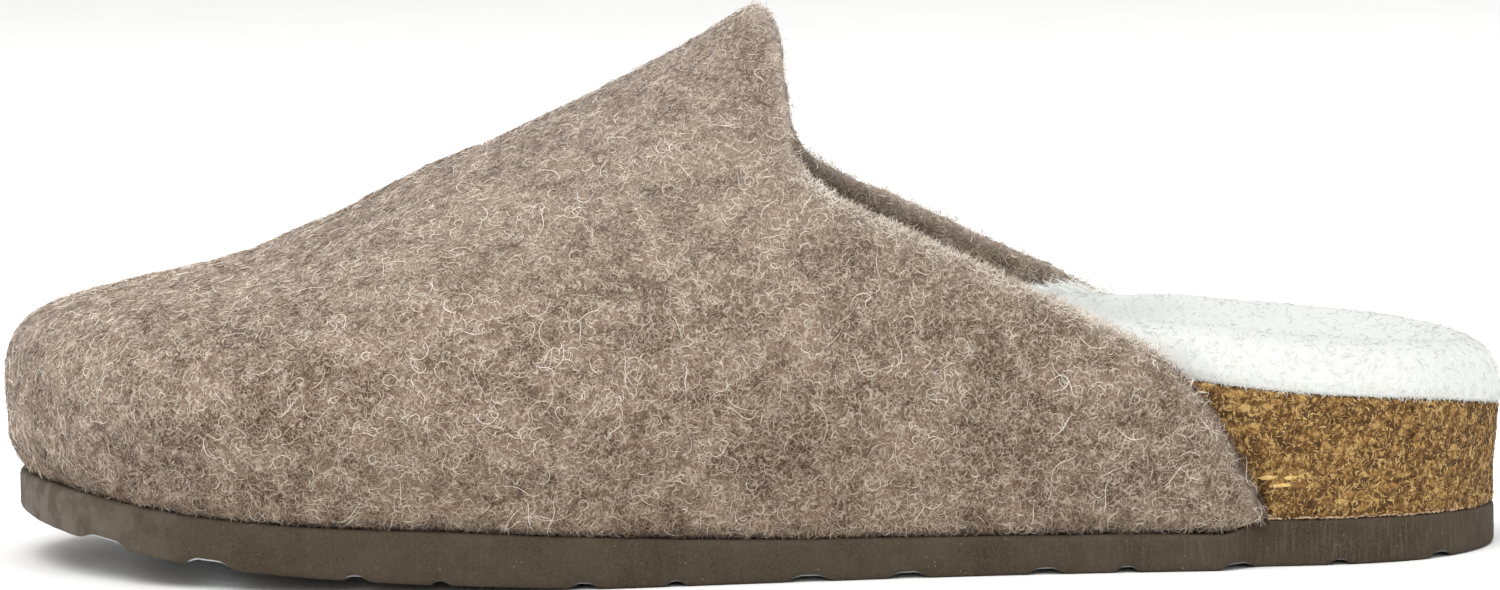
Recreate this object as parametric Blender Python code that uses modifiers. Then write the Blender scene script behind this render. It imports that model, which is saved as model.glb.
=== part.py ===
"""Backless felt clog for the left foot: a brown foam sole, a cork footbed, a fleece insole and a felt upper.

The toe points along -X and the outer side of the foot is at -Y. Sizes are in millimetres, and each mesh is
made in metres. Every piece is lofted from the outline of the cork footbed, so that all of them stay nested.
"""

import math
from collections import namedtuple

import bmesh
import bpy
import numpy as np

MM = 0.001

# Sizes of the footbed's outline
FOOTBED_LENGTH = 262.0
FOOTBED_WIDTH = 95.6
HEEL_CENTRE_INSET = 33.0
TOE_CENTRE_INSET = 37.0

# Sizes of the sole
SOLE_THICKNESS = 7.4
TOE_SPRING = 9.4
SOLE_EDGE_ROUND = 0.9
SOLE_FLAT_INSET = 8.0
SOLE_LIP = 1.2
SOLE_TOE_SHARE = 0.4
HEEL_LIP = 0.2
GROOVE_DEPTH = 1.3
GROOVE_WAVE = 1.6
GROOVE_WAVE_PITCH = 38.0

# Sizes of the felt upper
FELT = 3.2
FELT_MARGIN = 10.0
FOLD_RADIUS = 5.4
TOE_FLARE = 3.0
TOE_FLARE_LENGTH = 70.0
INSTEP_HEIGHT = 99.0
CREST_SHIFT = 3.0
COLLAR_RISE_ACROSS = 0.03

# Sizes of the footbed and the insole
RIM_HEIGHT = 34.0
RIM_ROUND = 1.6
RIM_FLARE = 1.1
CUP_POWER = 2.6
UNDER_ROUND = 0.9
SEAT_CHAMFER = 2.0
INSOLE_THICKNESS = 8.0
INSOLE_EDGE = 9.6
INSOLE_RISE_POWER = 4.0
INSOLE_INSET = 1.9
INSOLE_OVERHANG = 1.0

# Clearance between two pieces that meet
GAP = 0.3

# Where the felt ends at the heel, and the ramp that carries the sole from felt to cork, from the toe
FELT_END = 217.7
RAMP = 7.5

# Footbed outline. along: share of FOOTBED_LENGTH from the toe. outer, inner: shares of half FOOTBED_WIDTH.
OUTLINE = (
    (0.008, 0.06, 0.41),
    (0.031, 0.36, 0.61),
    (0.071, 0.63, 0.77),
    (0.128, 0.852, 0.865),
    (0.197, 0.958, 0.913),
    (0.281, 1.000, 0.917),
    (0.376, 0.980, 0.858),
    (0.491, 0.882, 0.740),
    (0.605, 0.788, 0.655),
    (0.720, 0.735, 0.648),
    (0.815, 0.717, 0.676),
    (0.891, 0.683, 0.674),
    (0.947, 0.556, 0.560),
    (0.986, 0.300, 0.306),
)
TOE_POINT = (0.0, 0.19)
HEEL_POINT = (1.0, 0.005)

# Sole. along: share of FOOTBED_LENGTH. spring: share of TOE_SPRING. thickness: share of SOLE_THICKNESS.
SOLE = (
    (-0.020, 0.960, 0.94),
    (0.010, 0.850, 1.07),
    (0.041, 0.730, 1.12),
    (0.069, 0.610, 1.15),
    (0.098, 0.510, 1.16),
    (0.124, 0.430, 1.16),
    (0.151, 0.360, 1.18),
    (0.178, 0.300, 1.18),
    (0.229, 0.200, 1.22),
    (0.280, 0.125, 1.24),
    (0.330, 0.065, 1.22),
    (0.376, 0.015, 1.20),
    (0.410, 0.000, 1.15),
    (0.510, 0.000, 1.00),
    (0.630, 0.000, 0.94),
    (0.740, 0.000, 0.90),
    (0.815, 0.000, 0.86),
    (0.880, 0.000, 0.86),
    (0.950, 0.000, 0.84),
    (1.020, 0.000, 0.66),
)

# Grooves across the sole. along: share of FOOTBED_LENGTH. width, depth: shares of GROOVE_DEPTH.
GROOVES = (
    (0.0483, 5.6, 0.80),
    (0.1226, 7.3, 0.80),
    (0.2271, 3.3, 0.90),
    (0.2842, 2.2, 0.75),
    (0.3784, 3.5, 0.90),
    (0.4370, 2.3, 0.90),
    (0.5220, 5.6, 1.00),
    (0.5864, 5.0, 1.00),
    (0.6774, 4.4, 1.00),
    (0.7322, 3.1, 0.95),
    (0.8077, 4.9, 1.00),
    (0.8794, 2.9, 0.85),
    (0.9572, 3.8, 0.90),
)

# Top of the footbed. along: share of FOOTBED_LENGTH. rim, seat: shares of RIM_HEIGHT at the edge and in the
# middle.
FOOTBED_TOP = (
    (-0.010, 0.720, 0.700),
    (0.110, 0.690, 0.650),
    (0.220, 0.625, 0.570),
    (0.320, 0.600, 0.535),
    (0.430, 0.635, 0.540),
    (0.530, 0.720, 0.580),
    (0.640, 0.880, 0.640),
    (0.720, 0.980, 0.665),
    (0.780, 0.972, 0.665),
    (0.845, 0.912, 0.655),
    (0.880, 0.885, 0.655),
    (0.930, 0.852, 0.660),
    (0.962, 0.822, 0.675),
    (1.010, 0.735, 0.700),
)

# Crest of the felt. along: share of FOOTBED_LENGTH. height: share of INSTEP_HEIGHT.
CREST = (
    (0.140, 0.556),
    (0.168, 0.589),
    (0.196, 0.619),
    (0.224, 0.654),
    (0.252, 0.690),
    (0.280, 0.726),
    (0.308, 0.753),
    (0.336, 0.787),
    (0.363, 0.821),
    (0.391, 0.856),
    (0.419, 0.890),
    (0.447, 0.928),
    (0.475, 0.972),
    (0.500, 1.006),
    (0.530, 1.024),
    (0.640, 1.015),
    (0.860, 0.960),
)

# Cross sections of the felt, from the sole's edge to the crest. across: share of the way from the crest line
# to the edge. up: share of the height. Pairs: the toe, the front, the ball, the instep, the waist, the rear.
SECTION_AT = (-0.012, 0.140, 0.320, 0.505, 0.645, 0.790)
SECTIONS = (
    ((1.000, 0.000), (1.000, 0.000), (1.000, 0.000), (1.000, 0.000), (1.000, 0.000), (1.000, 0.000)),
    ((1.018, 0.080), (1.028, 0.080), (1.026, 0.060), (1.022, 0.055), (1.018, 0.050), (1.010, 0.050)),
    ((1.032, 0.170), (1.050, 0.175), (1.048, 0.130), (1.036, 0.120), (1.028, 0.110), (1.015, 0.110)),
    ((1.038, 0.280), (1.062, 0.275), (1.055, 0.205), (1.038, 0.185), (1.030, 0.170), (1.018, 0.170)),
    ((1.034, 0.395), (1.056, 0.378), (1.042, 0.290), (1.024, 0.255), (1.020, 0.235), (1.016, 0.235)),
    ((1.014, 0.500), (1.026, 0.485), (1.005, 0.385), (0.990, 0.330), (0.995, 0.305), (1.004, 0.300)),
    ((0.974, 0.597), (0.968, 0.592), (0.938, 0.490), (0.930, 0.415), (0.955, 0.380), (0.975, 0.370)),
    ((0.905, 0.680), (0.880, 0.695), (0.842, 0.600), (0.850, 0.508), (0.898, 0.460), (0.920, 0.450)),
    ((0.797, 0.737), (0.755, 0.785), (0.720, 0.710), (0.750, 0.608), (0.820, 0.555), (0.840, 0.550)),
    ((0.628, 0.790), (0.600, 0.862), (0.570, 0.812), (0.625, 0.720), (0.705, 0.672), (0.730, 0.660)),
    ((0.425, 0.846), (0.420, 0.924), (0.400, 0.900), (0.460, 0.842), (0.560, 0.792), (0.580, 0.770)),
    ((0.212, 0.915), (0.215, 0.971), (0.205, 0.968), (0.240, 0.956), (0.330, 0.925), (0.340, 0.890)),
    ((0.000, 1.000), (0.000, 1.000), (0.000, 1.000), (0.000, 1.000), (0.000, 1.000), (0.000, 1.000)),
)

# Collar and tab seen from the outer side, peak to rear corner. along: share of FOOTBED_LENGTH.
# height: share of INSTEP_HEIGHT.
COLLAR = (
    (0.489, 1.040),
    (0.492, 1.000),
    (0.498, 0.990),
    (0.5045, 0.968),
    (0.5095, 0.936),
    (0.5118, 0.895),
    (0.5140, 0.844),
    (0.5165, 0.790),
    (0.519, 0.750),
    (0.524, 0.718),
    (0.534, 0.690),
    (0.551, 0.663),
    (0.567, 0.641),
    (0.584, 0.620),
    (0.614, 0.582),
    (0.643, 0.546),
    (0.671, 0.510),
    (0.700, 0.475),
    (0.725, 0.440),
    (0.745, 0.414),
    (0.763, 0.385),
    (0.779, 0.345),
    (0.799, 0.278),
    (0.815, 0.199),
    (0.824, 0.145),
    (0.829, 0.106),
    (0.828, 0.085),
    (0.823, 0.068),
)

# Distances from the toe of the stations along the two sides, as shares of FOOTBED_LENGTH
SIDE_STATIONS = (
    0.141, 0.185, 0.230, 0.275, 0.320, 0.365, 0.410, 0.450, 0.484, 0.510, 0.535, 0.575, 0.620, 0.665, 0.710,
    0.745, 0.775, 0.800, 0.8115, 0.8175, 0.8235, 0.8295, 0.8355, 0.8415, 0.862, 0.874,
)
TOE_STATIONS = 19
HEEL_STATIONS = 17

Station = namedtuple("Station", "foot out")


def smooth_value(table, column, at):
    """Value of a column at a first-column place, on a smooth curve that never overshoots the rows."""
    xs = [row[0] for row in table]
    ys = [row[column] for row in table]
    at = min(max(at, xs[0]), xs[-1])
    steps = [(y1 - y0) / (x1 - x0) for x0, x1, y0, y1 in zip(xs, xs[1:], ys, ys[1:])]
    slopes = [steps[0]]
    for before, after in zip(steps, steps[1:]):
        flat = before * after <= 0
        slopes.append(0.0 if flat else 2 * before * after / (before + after))
    slopes.append(steps[-1])
    i = min(max(int(np.searchsorted(xs, at)) - 1, 0), len(steps) - 1)
    width = xs[i + 1] - xs[i]
    t = (at - xs[i]) / width
    start = (1 + 2 * t) * (1 - t) ** 2 * ys[i] + t * (1 - t) ** 2 * width * slopes[i]
    end = t * t * (3 - 2 * t) * ys[i + 1] + t * t * (t - 1) * width * slopes[i + 1]
    return start + end


def ramp_value(at, start, length):
    """Smooth step from 0 to 1 that begins at start."""
    t = min(max((at - start) / length, 0.0), 1.0)
    return t * t * (3 - 2 * t)


def closed_curve(points, steps):
    """Centripetal curve through all the points and back to the first."""
    made = []
    count = len(points)
    for i in range(count):
        p = [np.array(points[(i + k - 1) % count]) for k in range(4)]
        t = [0.0]
        for a, b in zip(p, p[1:]):
            t.append(t[-1] + math.sqrt(np.linalg.norm(b - a)))
        for step in range(steps):
            u = t[1] + (t[2] - t[1]) * step / steps
            a = [((t[k + 1] - u) * p[k] + (u - t[k]) * p[k + 1]) / (t[k + 1] - t[k]) for k in range(3)]
            b = [((t[k + 2] - u) * a[k] + (u - t[k]) * a[k + 1]) / (t[k + 2] - t[k]) for k in range(2)]
            made.append(((t[2] - u) * b[0] + (u - t[1]) * b[1]) / (t[2] - t[1]))
    return np.array(made)


# The footbed's outline runs from the toe along the outer side to the heel, and back along the inner side
CURVE_STEPS = 16
HALF_WIDTH = FOOTBED_WIDTH / 2
toe = [(TOE_POINT[0] * FOOTBED_LENGTH, TOE_POINT[1] * HALF_WIDTH)]
outer_side = [(along * FOOTBED_LENGTH, -outer * HALF_WIDTH) for along, outer, inner in OUTLINE]
heel = [(HEEL_POINT[0] * FOOTBED_LENGTH, HEEL_POINT[1] * HALF_WIDTH)]
inner_side = [(along * FOOTBED_LENGTH, inner * HALF_WIDTH) for along, outer, inner in reversed(OUTLINE)]
PATH = closed_curve(toe + outer_side + heel + inner_side, CURVE_STEPS)
TANGENT = np.roll(PATH, -1, axis=0) - np.roll(PATH, 1, axis=0)
TANGENT /= np.linalg.norm(TANGENT, axis=1)[:, None]
OUTWARD = np.stack([TANGENT[:, 1], -TANGENT[:, 0]], axis=1)
HEEL_AT = (len(OUTLINE) + 1) * CURVE_STEPS
PATH_COUNT = len(PATH)


def station_at(k):
    """Station at a fractional index of the outline."""
    i = int(math.floor(k))
    share = k - i
    near, far = i % PATH_COUNT, (i + 1) % PATH_COUNT
    foot = PATH[near] * (1 - share) + PATH[far] * share
    out = OUTWARD[near] * (1 - share) + OUTWARD[far] * share
    return Station(foot, out / np.linalg.norm(out))


def outer_index(x):
    return float(np.interp(x, PATH[: HEEL_AT + 1, 0], np.arange(HEEL_AT + 1)))


def inner_index(x):
    back = np.concatenate([PATH[HEEL_AT:, 0], PATH[:1, 0]])[::-1]
    return float(np.interp(x, back, np.arange(PATH_COUNT, HEEL_AT - 1, -1)))


def spread(first, last, count):
    """Indices between two places of the outline, evenly spaced along it."""
    ks = np.linspace(first, last, 200)
    feet = np.array([station_at(k).foot for k in ks])
    run = np.concatenate([[0.0], np.cumsum(np.linalg.norm(np.diff(feet, axis=0), axis=1))])
    return list(np.interp(np.linspace(0, run[-1], count + 2)[1:-1], run, ks))


SIDES = [share * FOOTBED_LENGTH for share in SIDE_STATIONS]
outer_run = [outer_index(x) for x in SIDES]
inner_run = [inner_index(x) for x in reversed(SIDES)]
heel_run = spread(outer_run[-1], inner_run[0], HEEL_STATIONS)
toe_run = spread(inner_run[-1], outer_run[0] + PATH_COUNT, TOE_STATIONS)
ALL_ROUND = [station_at(k) for k in outer_run + heel_run + inner_run + toe_run]
FELT_RUN = [station_at(k) for k in inner_run + toe_run + outer_run]

MIDDLE_FROM = TOE_CENTRE_INSET
MIDDLE_TO = FOOTBED_LENGTH - HEEL_CENTRE_INSET


def middle(x):
    """Point of the middle line beside x. The line ends short of the toe and of the heel."""
    x = min(max(x, MIDDLE_FROM), MIDDLE_TO)
    outer = station_at(outer_index(x)).foot[1]
    inner = station_at(inner_index(x)).foot[1]
    return np.array([x, (outer + inner) / 2])


def along(x):
    return x / FOOTBED_LENGTH


def sole_bottom(x):
    return TOE_SPRING * smooth_value(SOLE, 1, along(x))


def sole_top(x):
    """Top of the sole: it steps up by less than the felt's thickness where the felt ends under the cork."""
    step = (FELT - SOLE_LIP) * ramp_value(x, FELT_END - RAMP, RAMP)
    return sole_bottom(x) + SOLE_THICKNESS * smooth_value(SOLE, 2, along(x)) + step


def toe_flare(x):
    """How much further the felt stands out round the toe than along the sides."""
    return TOE_FLARE * (1 - ramp_value(x, 0.0, TOE_FLARE_LENGTH))


def felt_edge(x):
    """How far the foot of the felt wall stands out from the footbed's outline."""
    return GAP + FELT + toe_flare(x)


def sole_edge(x):
    """How far the sole stands out from the footbed's outline."""
    front = GAP + FELT + SOLE_LIP + SOLE_TOE_SHARE * toe_flare(x)
    return front + (HEEL_LIP - front) * ramp_value(x, FELT_END - RAMP, RAMP)


def footbed_rim(x):
    return RIM_HEIGHT * smooth_value(FOOTBED_TOP, 1, along(x))


def footbed_seat(x):
    return RIM_HEIGHT * smooth_value(FOOTBED_TOP, 2, along(x))


def footbed_height(x, share):
    """Top of the footbed at a share of the way from the middle line to the edge."""
    return footbed_seat(x) + (footbed_rim(x) - footbed_seat(x)) * share**CUP_POWER


def beside(station, offset, height):
    """Point at an offset from the outline, with its height read at its own x."""
    x, y = station.foot + station.out * offset
    return (x, y, height(x))


def inside(station, offset, share, height):
    """Point at a share of the way from the middle line to the offset outline."""
    edge = station.foot + station.out * offset
    centre = middle(station.foot[0])
    x, y = centre + (edge - centre) * share
    return (x, y, height(x))


def skin(rows, around):
    """Points and faces that join each row of points to the next. Points that coincide become one."""
    points = []
    index = {}

    def number(point):
        key = tuple(round(value, 4) for value in point)
        if key not in index:
            index[key] = len(points)
            points.append([value * MM for value in point])
        return index[key]

    grid = [[number(point) for point in row] for row in rows]
    faces = []
    for low, high in zip(grid, grid[1:]):
        count = len(low)
        for i in range(count if around else count - 1):
            j = (i + 1) % count
            corners = []
            for corner in (low[i], low[j], high[j], high[i]):
                if corner not in corners:
                    corners.append(corner)
            if len(corners) > 2:
                faces.append(corners)
    return points, faces


def make_object(name, points, faces, colour, roughness):
    """Object with its faces turned outward and one plain material."""
    mesh = bpy.data.meshes.new(name)
    mesh.from_pydata(points, [], faces)
    work = bmesh.new()
    work.from_mesh(mesh)
    bmesh.ops.recalc_face_normals(work, faces=work.faces)
    work.to_mesh(mesh)
    work.free()
    mesh.shade_smooth()
    obj = bpy.data.objects.new(name, mesh)
    material = bpy.data.materials.new(name)
    material.use_nodes = True
    shader = material.node_tree.nodes["Principled BSDF"]
    shader.inputs["Base Color"].default_value = (*colour, 1.0)
    shader.inputs["Roughness"].default_value = roughness
    shader.inputs["Metallic"].default_value = 0.0
    mesh.materials.append(material)
    return obj


def cut(obj, cutter):
    modifier = obj.modifiers.new("Cut " + cutter.name, "BOOLEAN")
    modifier.operation = "DIFFERENCE"
    modifier.solver = "EXACT"
    modifier.object = cutter


def sole_rows():
    """Rows of the sole from the middle of its top, over the edge, to the middle of its underside."""
    half_way = 0.55
    rows = []
    for share in (0.0, half_way):
        rows.append([inside(s, sole_edge(s.foot[0]), share, sole_top) for s in ALL_ROUND])
    edge = (
        (-SOLE_FLAT_INSET, sole_top, 0.0),
        (-SOLE_EDGE_ROUND, sole_top, 0.0),
        (0.0, sole_top, -SOLE_EDGE_ROUND),
        (0.0, sole_bottom, SOLE_EDGE_ROUND),
        (-SOLE_EDGE_ROUND, sole_bottom, 0.0),
        (-SOLE_FLAT_INSET, sole_bottom, 0.0),
    )
    for inset, surface, lift in edge:
        row = []
        for s in ALL_ROUND:
            x, y, z = beside(s, sole_edge(s.foot[0]) + inset, surface)
            row.append((x, y, z + lift))
        rows.append(row)
    for share in (half_way, 0.0):
        rows.append([inside(s, sole_edge(s.foot[0]), share, sole_bottom) for s in ALL_ROUND])
    return rows


def groove_bars():
    """Wavy bars that cut the grooves across the underside."""
    points = []
    faces = []
    reach = FOOTBED_WIDTH * 0.62
    steps = 12
    for place, width, depth in GROOVES:
        centre = place * FOOTBED_LENGTH
        half = width * GROOVE_DEPTH / 2
        top = depth * GROOVE_DEPTH
        low = -1.5 * GROOVE_DEPTH
        section = ((-half, low), (-half, 0.0), (-0.6 * half, top), (0.6 * half, top), (half, 0.0), (half, low))
        rows = []
        for step in range(steps + 1):
            y = -reach + 2 * reach * step / steps
            shift = GROOVE_WAVE * math.sin(2 * math.pi * (y + HALF_WIDTH) / GROOVE_WAVE_PITCH)
            rows.append([(centre + dx + shift, y, sole_bottom(centre + dx) + dz) for dx, dz in section])
        new_points, new_faces = skin(rows, True)
        first = len(points)
        last = first + len(new_points)
        points += new_points
        faces += [[first + k for k in face] for face in new_faces]
        faces.append([first + k for k in range(len(section))])
        faces.append([last - 1 - k for k in range(len(section))])
    return points, faces


def cup_rows():
    """Rows of the footbed's top, from the middle out to the inner side of the rim."""
    rows = []
    for share in (0.0, 0.3, 0.55, 0.75, 0.9):
        height = lambda x, share=share: footbed_height(x, share)
        rows.append([inside(s, -RIM_ROUND, share, height) for s in ALL_ROUND])
    rows.append([beside(s, RIM_FLARE - 2 * RIM_ROUND, footbed_rim) for s in ALL_ROUND])
    return rows


def footbed_rows():
    """Rows of the footbed from the middle of its top, over the rim, to the middle of its underside."""
    rows = cup_rows()
    for offset, lift in ((RIM_FLARE - 0.3 * RIM_ROUND, -0.25 * RIM_ROUND), (RIM_FLARE, -RIM_ROUND)):
        row = []
        for s in ALL_ROUND:
            flare = offset * ramp_value(s.foot[0], FELT_END - 3 * RAMP, 4 * RAMP)
            x, y, z = beside(s, flare, footbed_rim)
            row.append((x, y, z + lift))
        rows.append(row)
    underside = lambda x: sole_top(x) + GAP
    for offset, lift in ((0.0, UNDER_ROUND), (-UNDER_ROUND, 0.0)):
        row = []
        for s in ALL_ROUND:
            x, y, z = beside(s, offset, underside)
            row.append((x, y, z + lift))
        rows.append(row)
    rows += [[inside(s, 0.0, share, underside) for s in ALL_ROUND] for share in (0.7, 0.0)]
    return rows


def felt_seat_rows():
    """Band that the felt's margin fills under the footbed's edge, with the clearance round it."""
    inner = FELT - FELT_MARGIN - GAP
    outer = FELT + 4 * GAP
    rise = 3 * GAP + FELT
    top = rise + SEAT_CHAMFER
    low = -3 * GAP
    end = FELT_END + GAP
    run = [s for s in FELT_RUN if s.foot[0] < end - 3 * GAP]
    run = [station_at(inner_index(end))] + run + [station_at(outer_index(end))]
    rows = []
    for s in run:
        corners = (
            (outer, low),
            (inner, low),
            (inner, rise),
            (-SEAT_CHAMFER, rise),
            (GAP / 2, top),
            (outer, top),
        )
        row = []
        for offset, lift in corners:
            x, y, z = beside(s, offset, sole_top)
            row.append((min(x, end), y, z + lift))
        rows.append(row)
    return rows


def section_point(place, row):
    """Across and up shares of one row of the felt's cross section, at a share of the footbed's length."""
    across = [(at, pair[0]) for at, pair in zip(SECTION_AT, SECTIONS[row])]
    up = [(at, pair[1]) for at, pair in zip(SECTION_AT, SECTIONS[row])]
    return smooth_value(across, 1, place), smooth_value(up, 1, place)


def felt_rows():
    """Outer surface of the felt: the margin under the footbed, the fold round it, the wall up to the crest."""
    fold = FOLD_RADIUS
    resting = lambda x: sole_top(x) + GAP
    rows = []
    under = [(-FELT_MARGIN, 0.0)]
    for degrees in (0, 30, 60):
        turn = math.radians(degrees)
        under.append((fold * math.sin(turn) - fold, fold - fold * math.cos(turn)))
    for offset, lift in under:
        row = []
        for s in FELT_RUN:
            x, y, z = beside(s, felt_edge(s.foot[0]) + offset, resting)
            row.append((x, y, z + lift))
        rows.append(row)
    for number in range(len(SECTIONS)):
        row = []
        for s in FELT_RUN:
            foot = s.foot + s.out * felt_edge(s.foot[0])
            centre = middle(s.foot[0]) + np.array([0.0, CREST_SHIFT])
            across, up = section_point(along(s.foot[0]), number)
            x, y = centre + (foot - centre) * across
            low = resting(foot[0]) + fold
            high = INSTEP_HEIGHT * smooth_value(CREST, 1, along(centre[0]))
            row.append((x, y, low + (high - low) * up))
        rows.append(row)
    return rows


def collar_block():
    """Block that takes away everything above and behind the collar."""
    outline = [(a * FOOTBED_LENGTH, h * INSTEP_HEIGHT) for a, h in COLLAR]
    low = -FELT_MARGIN
    high = 1.3 * INSTEP_HEIGHT
    far = 1.1 * FOOTBED_LENGTH
    outline += [(outline[-1][0] - FELT / 2, low), (far, low), (far, high), (outline[0][0], high)]
    reach = FOOTBED_WIDTH
    rows = []
    for y in (-reach, reach):
        rise = COLLAR_RISE_ACROSS * y
        rows.append([(x, y, z + rise) for x, z in outline])
    points, faces = skin(rows, True)
    count = len(outline)
    faces.append(list(range(count)))
    faces.append([2 * count - 1 - k for k in range(count)])
    return points, faces


def insole_rows():
    """Rows of the insole: the middle of its top, its thick edge, the middle of its underside."""
    rows = []
    for share in (0.0, 0.35, 0.6, 0.78):
        rise = (INSOLE_EDGE - INSOLE_THICKNESS) * share**INSOLE_RISE_POWER
        height = lambda x, share=share, rise=rise: footbed_height(x, share) + INSOLE_THICKNESS + rise
        rows.append([inside(s, -INSOLE_INSET, share, height) for s in ALL_ROUND])
    edge = (
        (-0.56, 1.0),
        (-0.30, 0.93),
        (-0.10, 0.74),
        (0.0, 0.42),
        (-0.04, 0.16),
    )
    for inset, lift in edge:
        row = []
        for s in ALL_ROUND:
            free = ramp_value(s.foot[0], FELT_END - 2.4 * RAMP, 1.8 * RAMP)
            offset = -INSOLE_INSET + (INSOLE_INSET + INSOLE_OVERHANG) * free + inset * INSOLE_EDGE
            x, y, z = beside(s, offset, footbed_rim)
            row.append((x, y, z + GAP + lift * INSOLE_EDGE))
        rows.append(row)
    for row in reversed(cup_rows()):
        rows.append([(x, y, z + GAP) for x, y, z in row])
    return rows


for old in list(bpy.data.objects):
    bpy.data.objects.remove(old, do_unlink=True)

slipper = bpy.data.collections.new("Clog slipper")
cutters = bpy.data.collections.new("Cutters")
bpy.context.scene.collection.children.link(slipper)
bpy.context.scene.collection.children.link(cutters)

outsole = make_object("outsole", *skin(sole_rows(), True), (0.083, 0.063, 0.042), 0.75)
footbed = make_object("footbed", *skin(footbed_rows(), True), (0.275, 0.165, 0.065), 0.8)
insole = make_object("insole", *skin(insole_rows(), True), (0.88, 0.88, 0.86), 0.95)
upper = make_object("upper", *skin(felt_rows(), False), (0.36, 0.28, 0.22), 0.95)
for piece in (outsole, footbed, insole, upper):
    slipper.objects.link(piece)

groove_cutter = make_object("groove bars", *groove_bars(), (0.5, 0.5, 0.5), 0.5)
seat_points, seat_faces = skin(felt_seat_rows(), True)
SEAT_CORNERS = 6
seat_faces.append(list(range(SEAT_CORNERS)))
seat_faces.append([len(seat_points) - 1 - k for k in range(SEAT_CORNERS)])
seat_cutter = make_object("felt seat", seat_points, seat_faces, (0.5, 0.5, 0.5), 0.5)
collar_cutter = make_object("collar block", *collar_block(), (0.5, 0.5, 0.5), 0.5)
for cutter in (groove_cutter, seat_cutter, collar_cutter):
    cutter.hide_render = True
    cutter.display_type = "WIRE"
    cutters.objects.link(cutter)

thickness = upper.modifiers.new("Felt thickness", "SOLIDIFY")
thickness.thickness = FELT * MM
thickness.offset = -1.0
thickness.use_even_offset = True
cut(upper, collar_cutter)
cut(outsole, groove_cutter)
cut(footbed, seat_cutter)

# The origin goes to the middle of the bounding box's underside
bpy.context.view_layer.update()
graph = bpy.context.evaluated_depsgraph_get()
corners = []
for piece in slipper.objects:
    corners += [corner for corner in np.array(piece.evaluated_get(graph).bound_box)]
corners = np.array(corners)
low, high = corners.min(axis=0), corners.max(axis=0)
shift = (-(low[0] + high[0]) / 2, -(low[1] + high[1]) / 2, -low[2])
for obj in list(slipper.objects) + list(cutters.objects):
    obj.location = shift
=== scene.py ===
# %% [markdown]
# # A felt clog slipper
#
# The real clog has four main pieces: a brown foam sole, a cork footbed, a white fleece insole and an upper of
# thick wool felt with an open heel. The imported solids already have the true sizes. This script loads them as a
# fixed frame and makes each piece again with the surface that the hand and the eye know: curled wool, pile,
# chips of cork and dusty foam. Everything is in metres, in the frame's own place.

import math
from itertools import product

import bmesh
import bpy
import numpy as np
from mathutils import Matrix, Vector


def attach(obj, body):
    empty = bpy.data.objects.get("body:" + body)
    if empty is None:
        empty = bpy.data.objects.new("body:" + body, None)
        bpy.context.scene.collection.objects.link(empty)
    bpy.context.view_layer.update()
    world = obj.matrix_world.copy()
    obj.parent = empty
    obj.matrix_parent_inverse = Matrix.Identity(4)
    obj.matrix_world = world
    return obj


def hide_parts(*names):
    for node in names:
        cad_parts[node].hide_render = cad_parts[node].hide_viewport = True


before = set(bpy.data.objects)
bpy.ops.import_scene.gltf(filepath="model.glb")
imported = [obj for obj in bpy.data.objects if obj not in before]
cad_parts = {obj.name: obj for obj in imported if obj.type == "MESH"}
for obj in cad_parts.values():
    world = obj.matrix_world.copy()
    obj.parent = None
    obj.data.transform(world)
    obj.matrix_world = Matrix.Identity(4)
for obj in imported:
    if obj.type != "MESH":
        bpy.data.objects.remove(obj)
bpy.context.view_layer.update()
MM = 0.001

# %% [markdown]
# ## The camera
#
# The clog is seen from its outer side, a little from above, from a good metre away. The camera is set first, so
# that every later piece can be judged from the same place. It leans by less than a degree, as the picture does.

# %% Camera
IMAGE_WIDTH = 1500
FOCAL_PIXELS = 6363.0
CAMERA_DISTANCE = 1.150
CAMERA_TARGET = Vector((0.0004, 0.0, 0.0464))
CAMERA_ELEVATION = math.radians(5.4)
CAMERA_ROLL = math.radians(0.8)
SENSOR = 36.0
FARTHEST = 50


def in_scene(name, data):
    """New object in the scene that holds some data."""
    made = bpy.data.objects.new(name, data)
    bpy.context.scene.collection.objects.link(made)
    return made


def aimed_camera():
    cosine, sine = math.cos(CAMERA_ELEVATION), math.sin(CAMERA_ELEVATION)
    forward, level, across = Vector((0, cosine, -sine)), Vector((0, sine, cosine)), Vector((1, 0, 0))
    right = across * math.cos(CAMERA_ROLL) - level * math.sin(CAMERA_ROLL)
    up = across * math.sin(CAMERA_ROLL) + level * math.cos(CAMERA_ROLL)
    data = bpy.data.cameras.new("camera")
    data.sensor_width = SENSOR
    data.lens = SENSOR * FOCAL_PIXELS / IMAGE_WIDTH
    data.clip_end = FARTHEST
    camera = in_scene("camera", data)
    camera.matrix_world = Matrix((right, up, -forward)).transposed().to_4x4()
    camera.location = CAMERA_TARGET - forward * CAMERA_DISTANCE
    bpy.context.scene.camera = camera
    return camera


camera = aimed_camera()
print("lens in mm:", round(camera.data.lens, 1), "height in m:", round(camera.location.z, 3))

# %% [markdown]
# ## Materials from small parts
#
# Every finish here is built from nodes. Four effects come back in several of them: patches of slightly other
# colour, a tangle of fine strands, the heather of mixed wool, and painted shade low down with painted light high
# up. Each is a node group that is made once and placed where it is needed. The groups put out masks only. The
# shader itself stays in the material.

# %% Helpers for nodes
def colour(red, green, blue):
    """Linear colour from the usual 0 to 255 values."""
    shares = [value / 255 for value in (red, green, blue)]
    linear = [s / 12.92 if s <= 0.04045 else ((s + 0.055) / 1.055) ** 2.4 for s in shares]
    return (*linear, 1.0)


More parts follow.
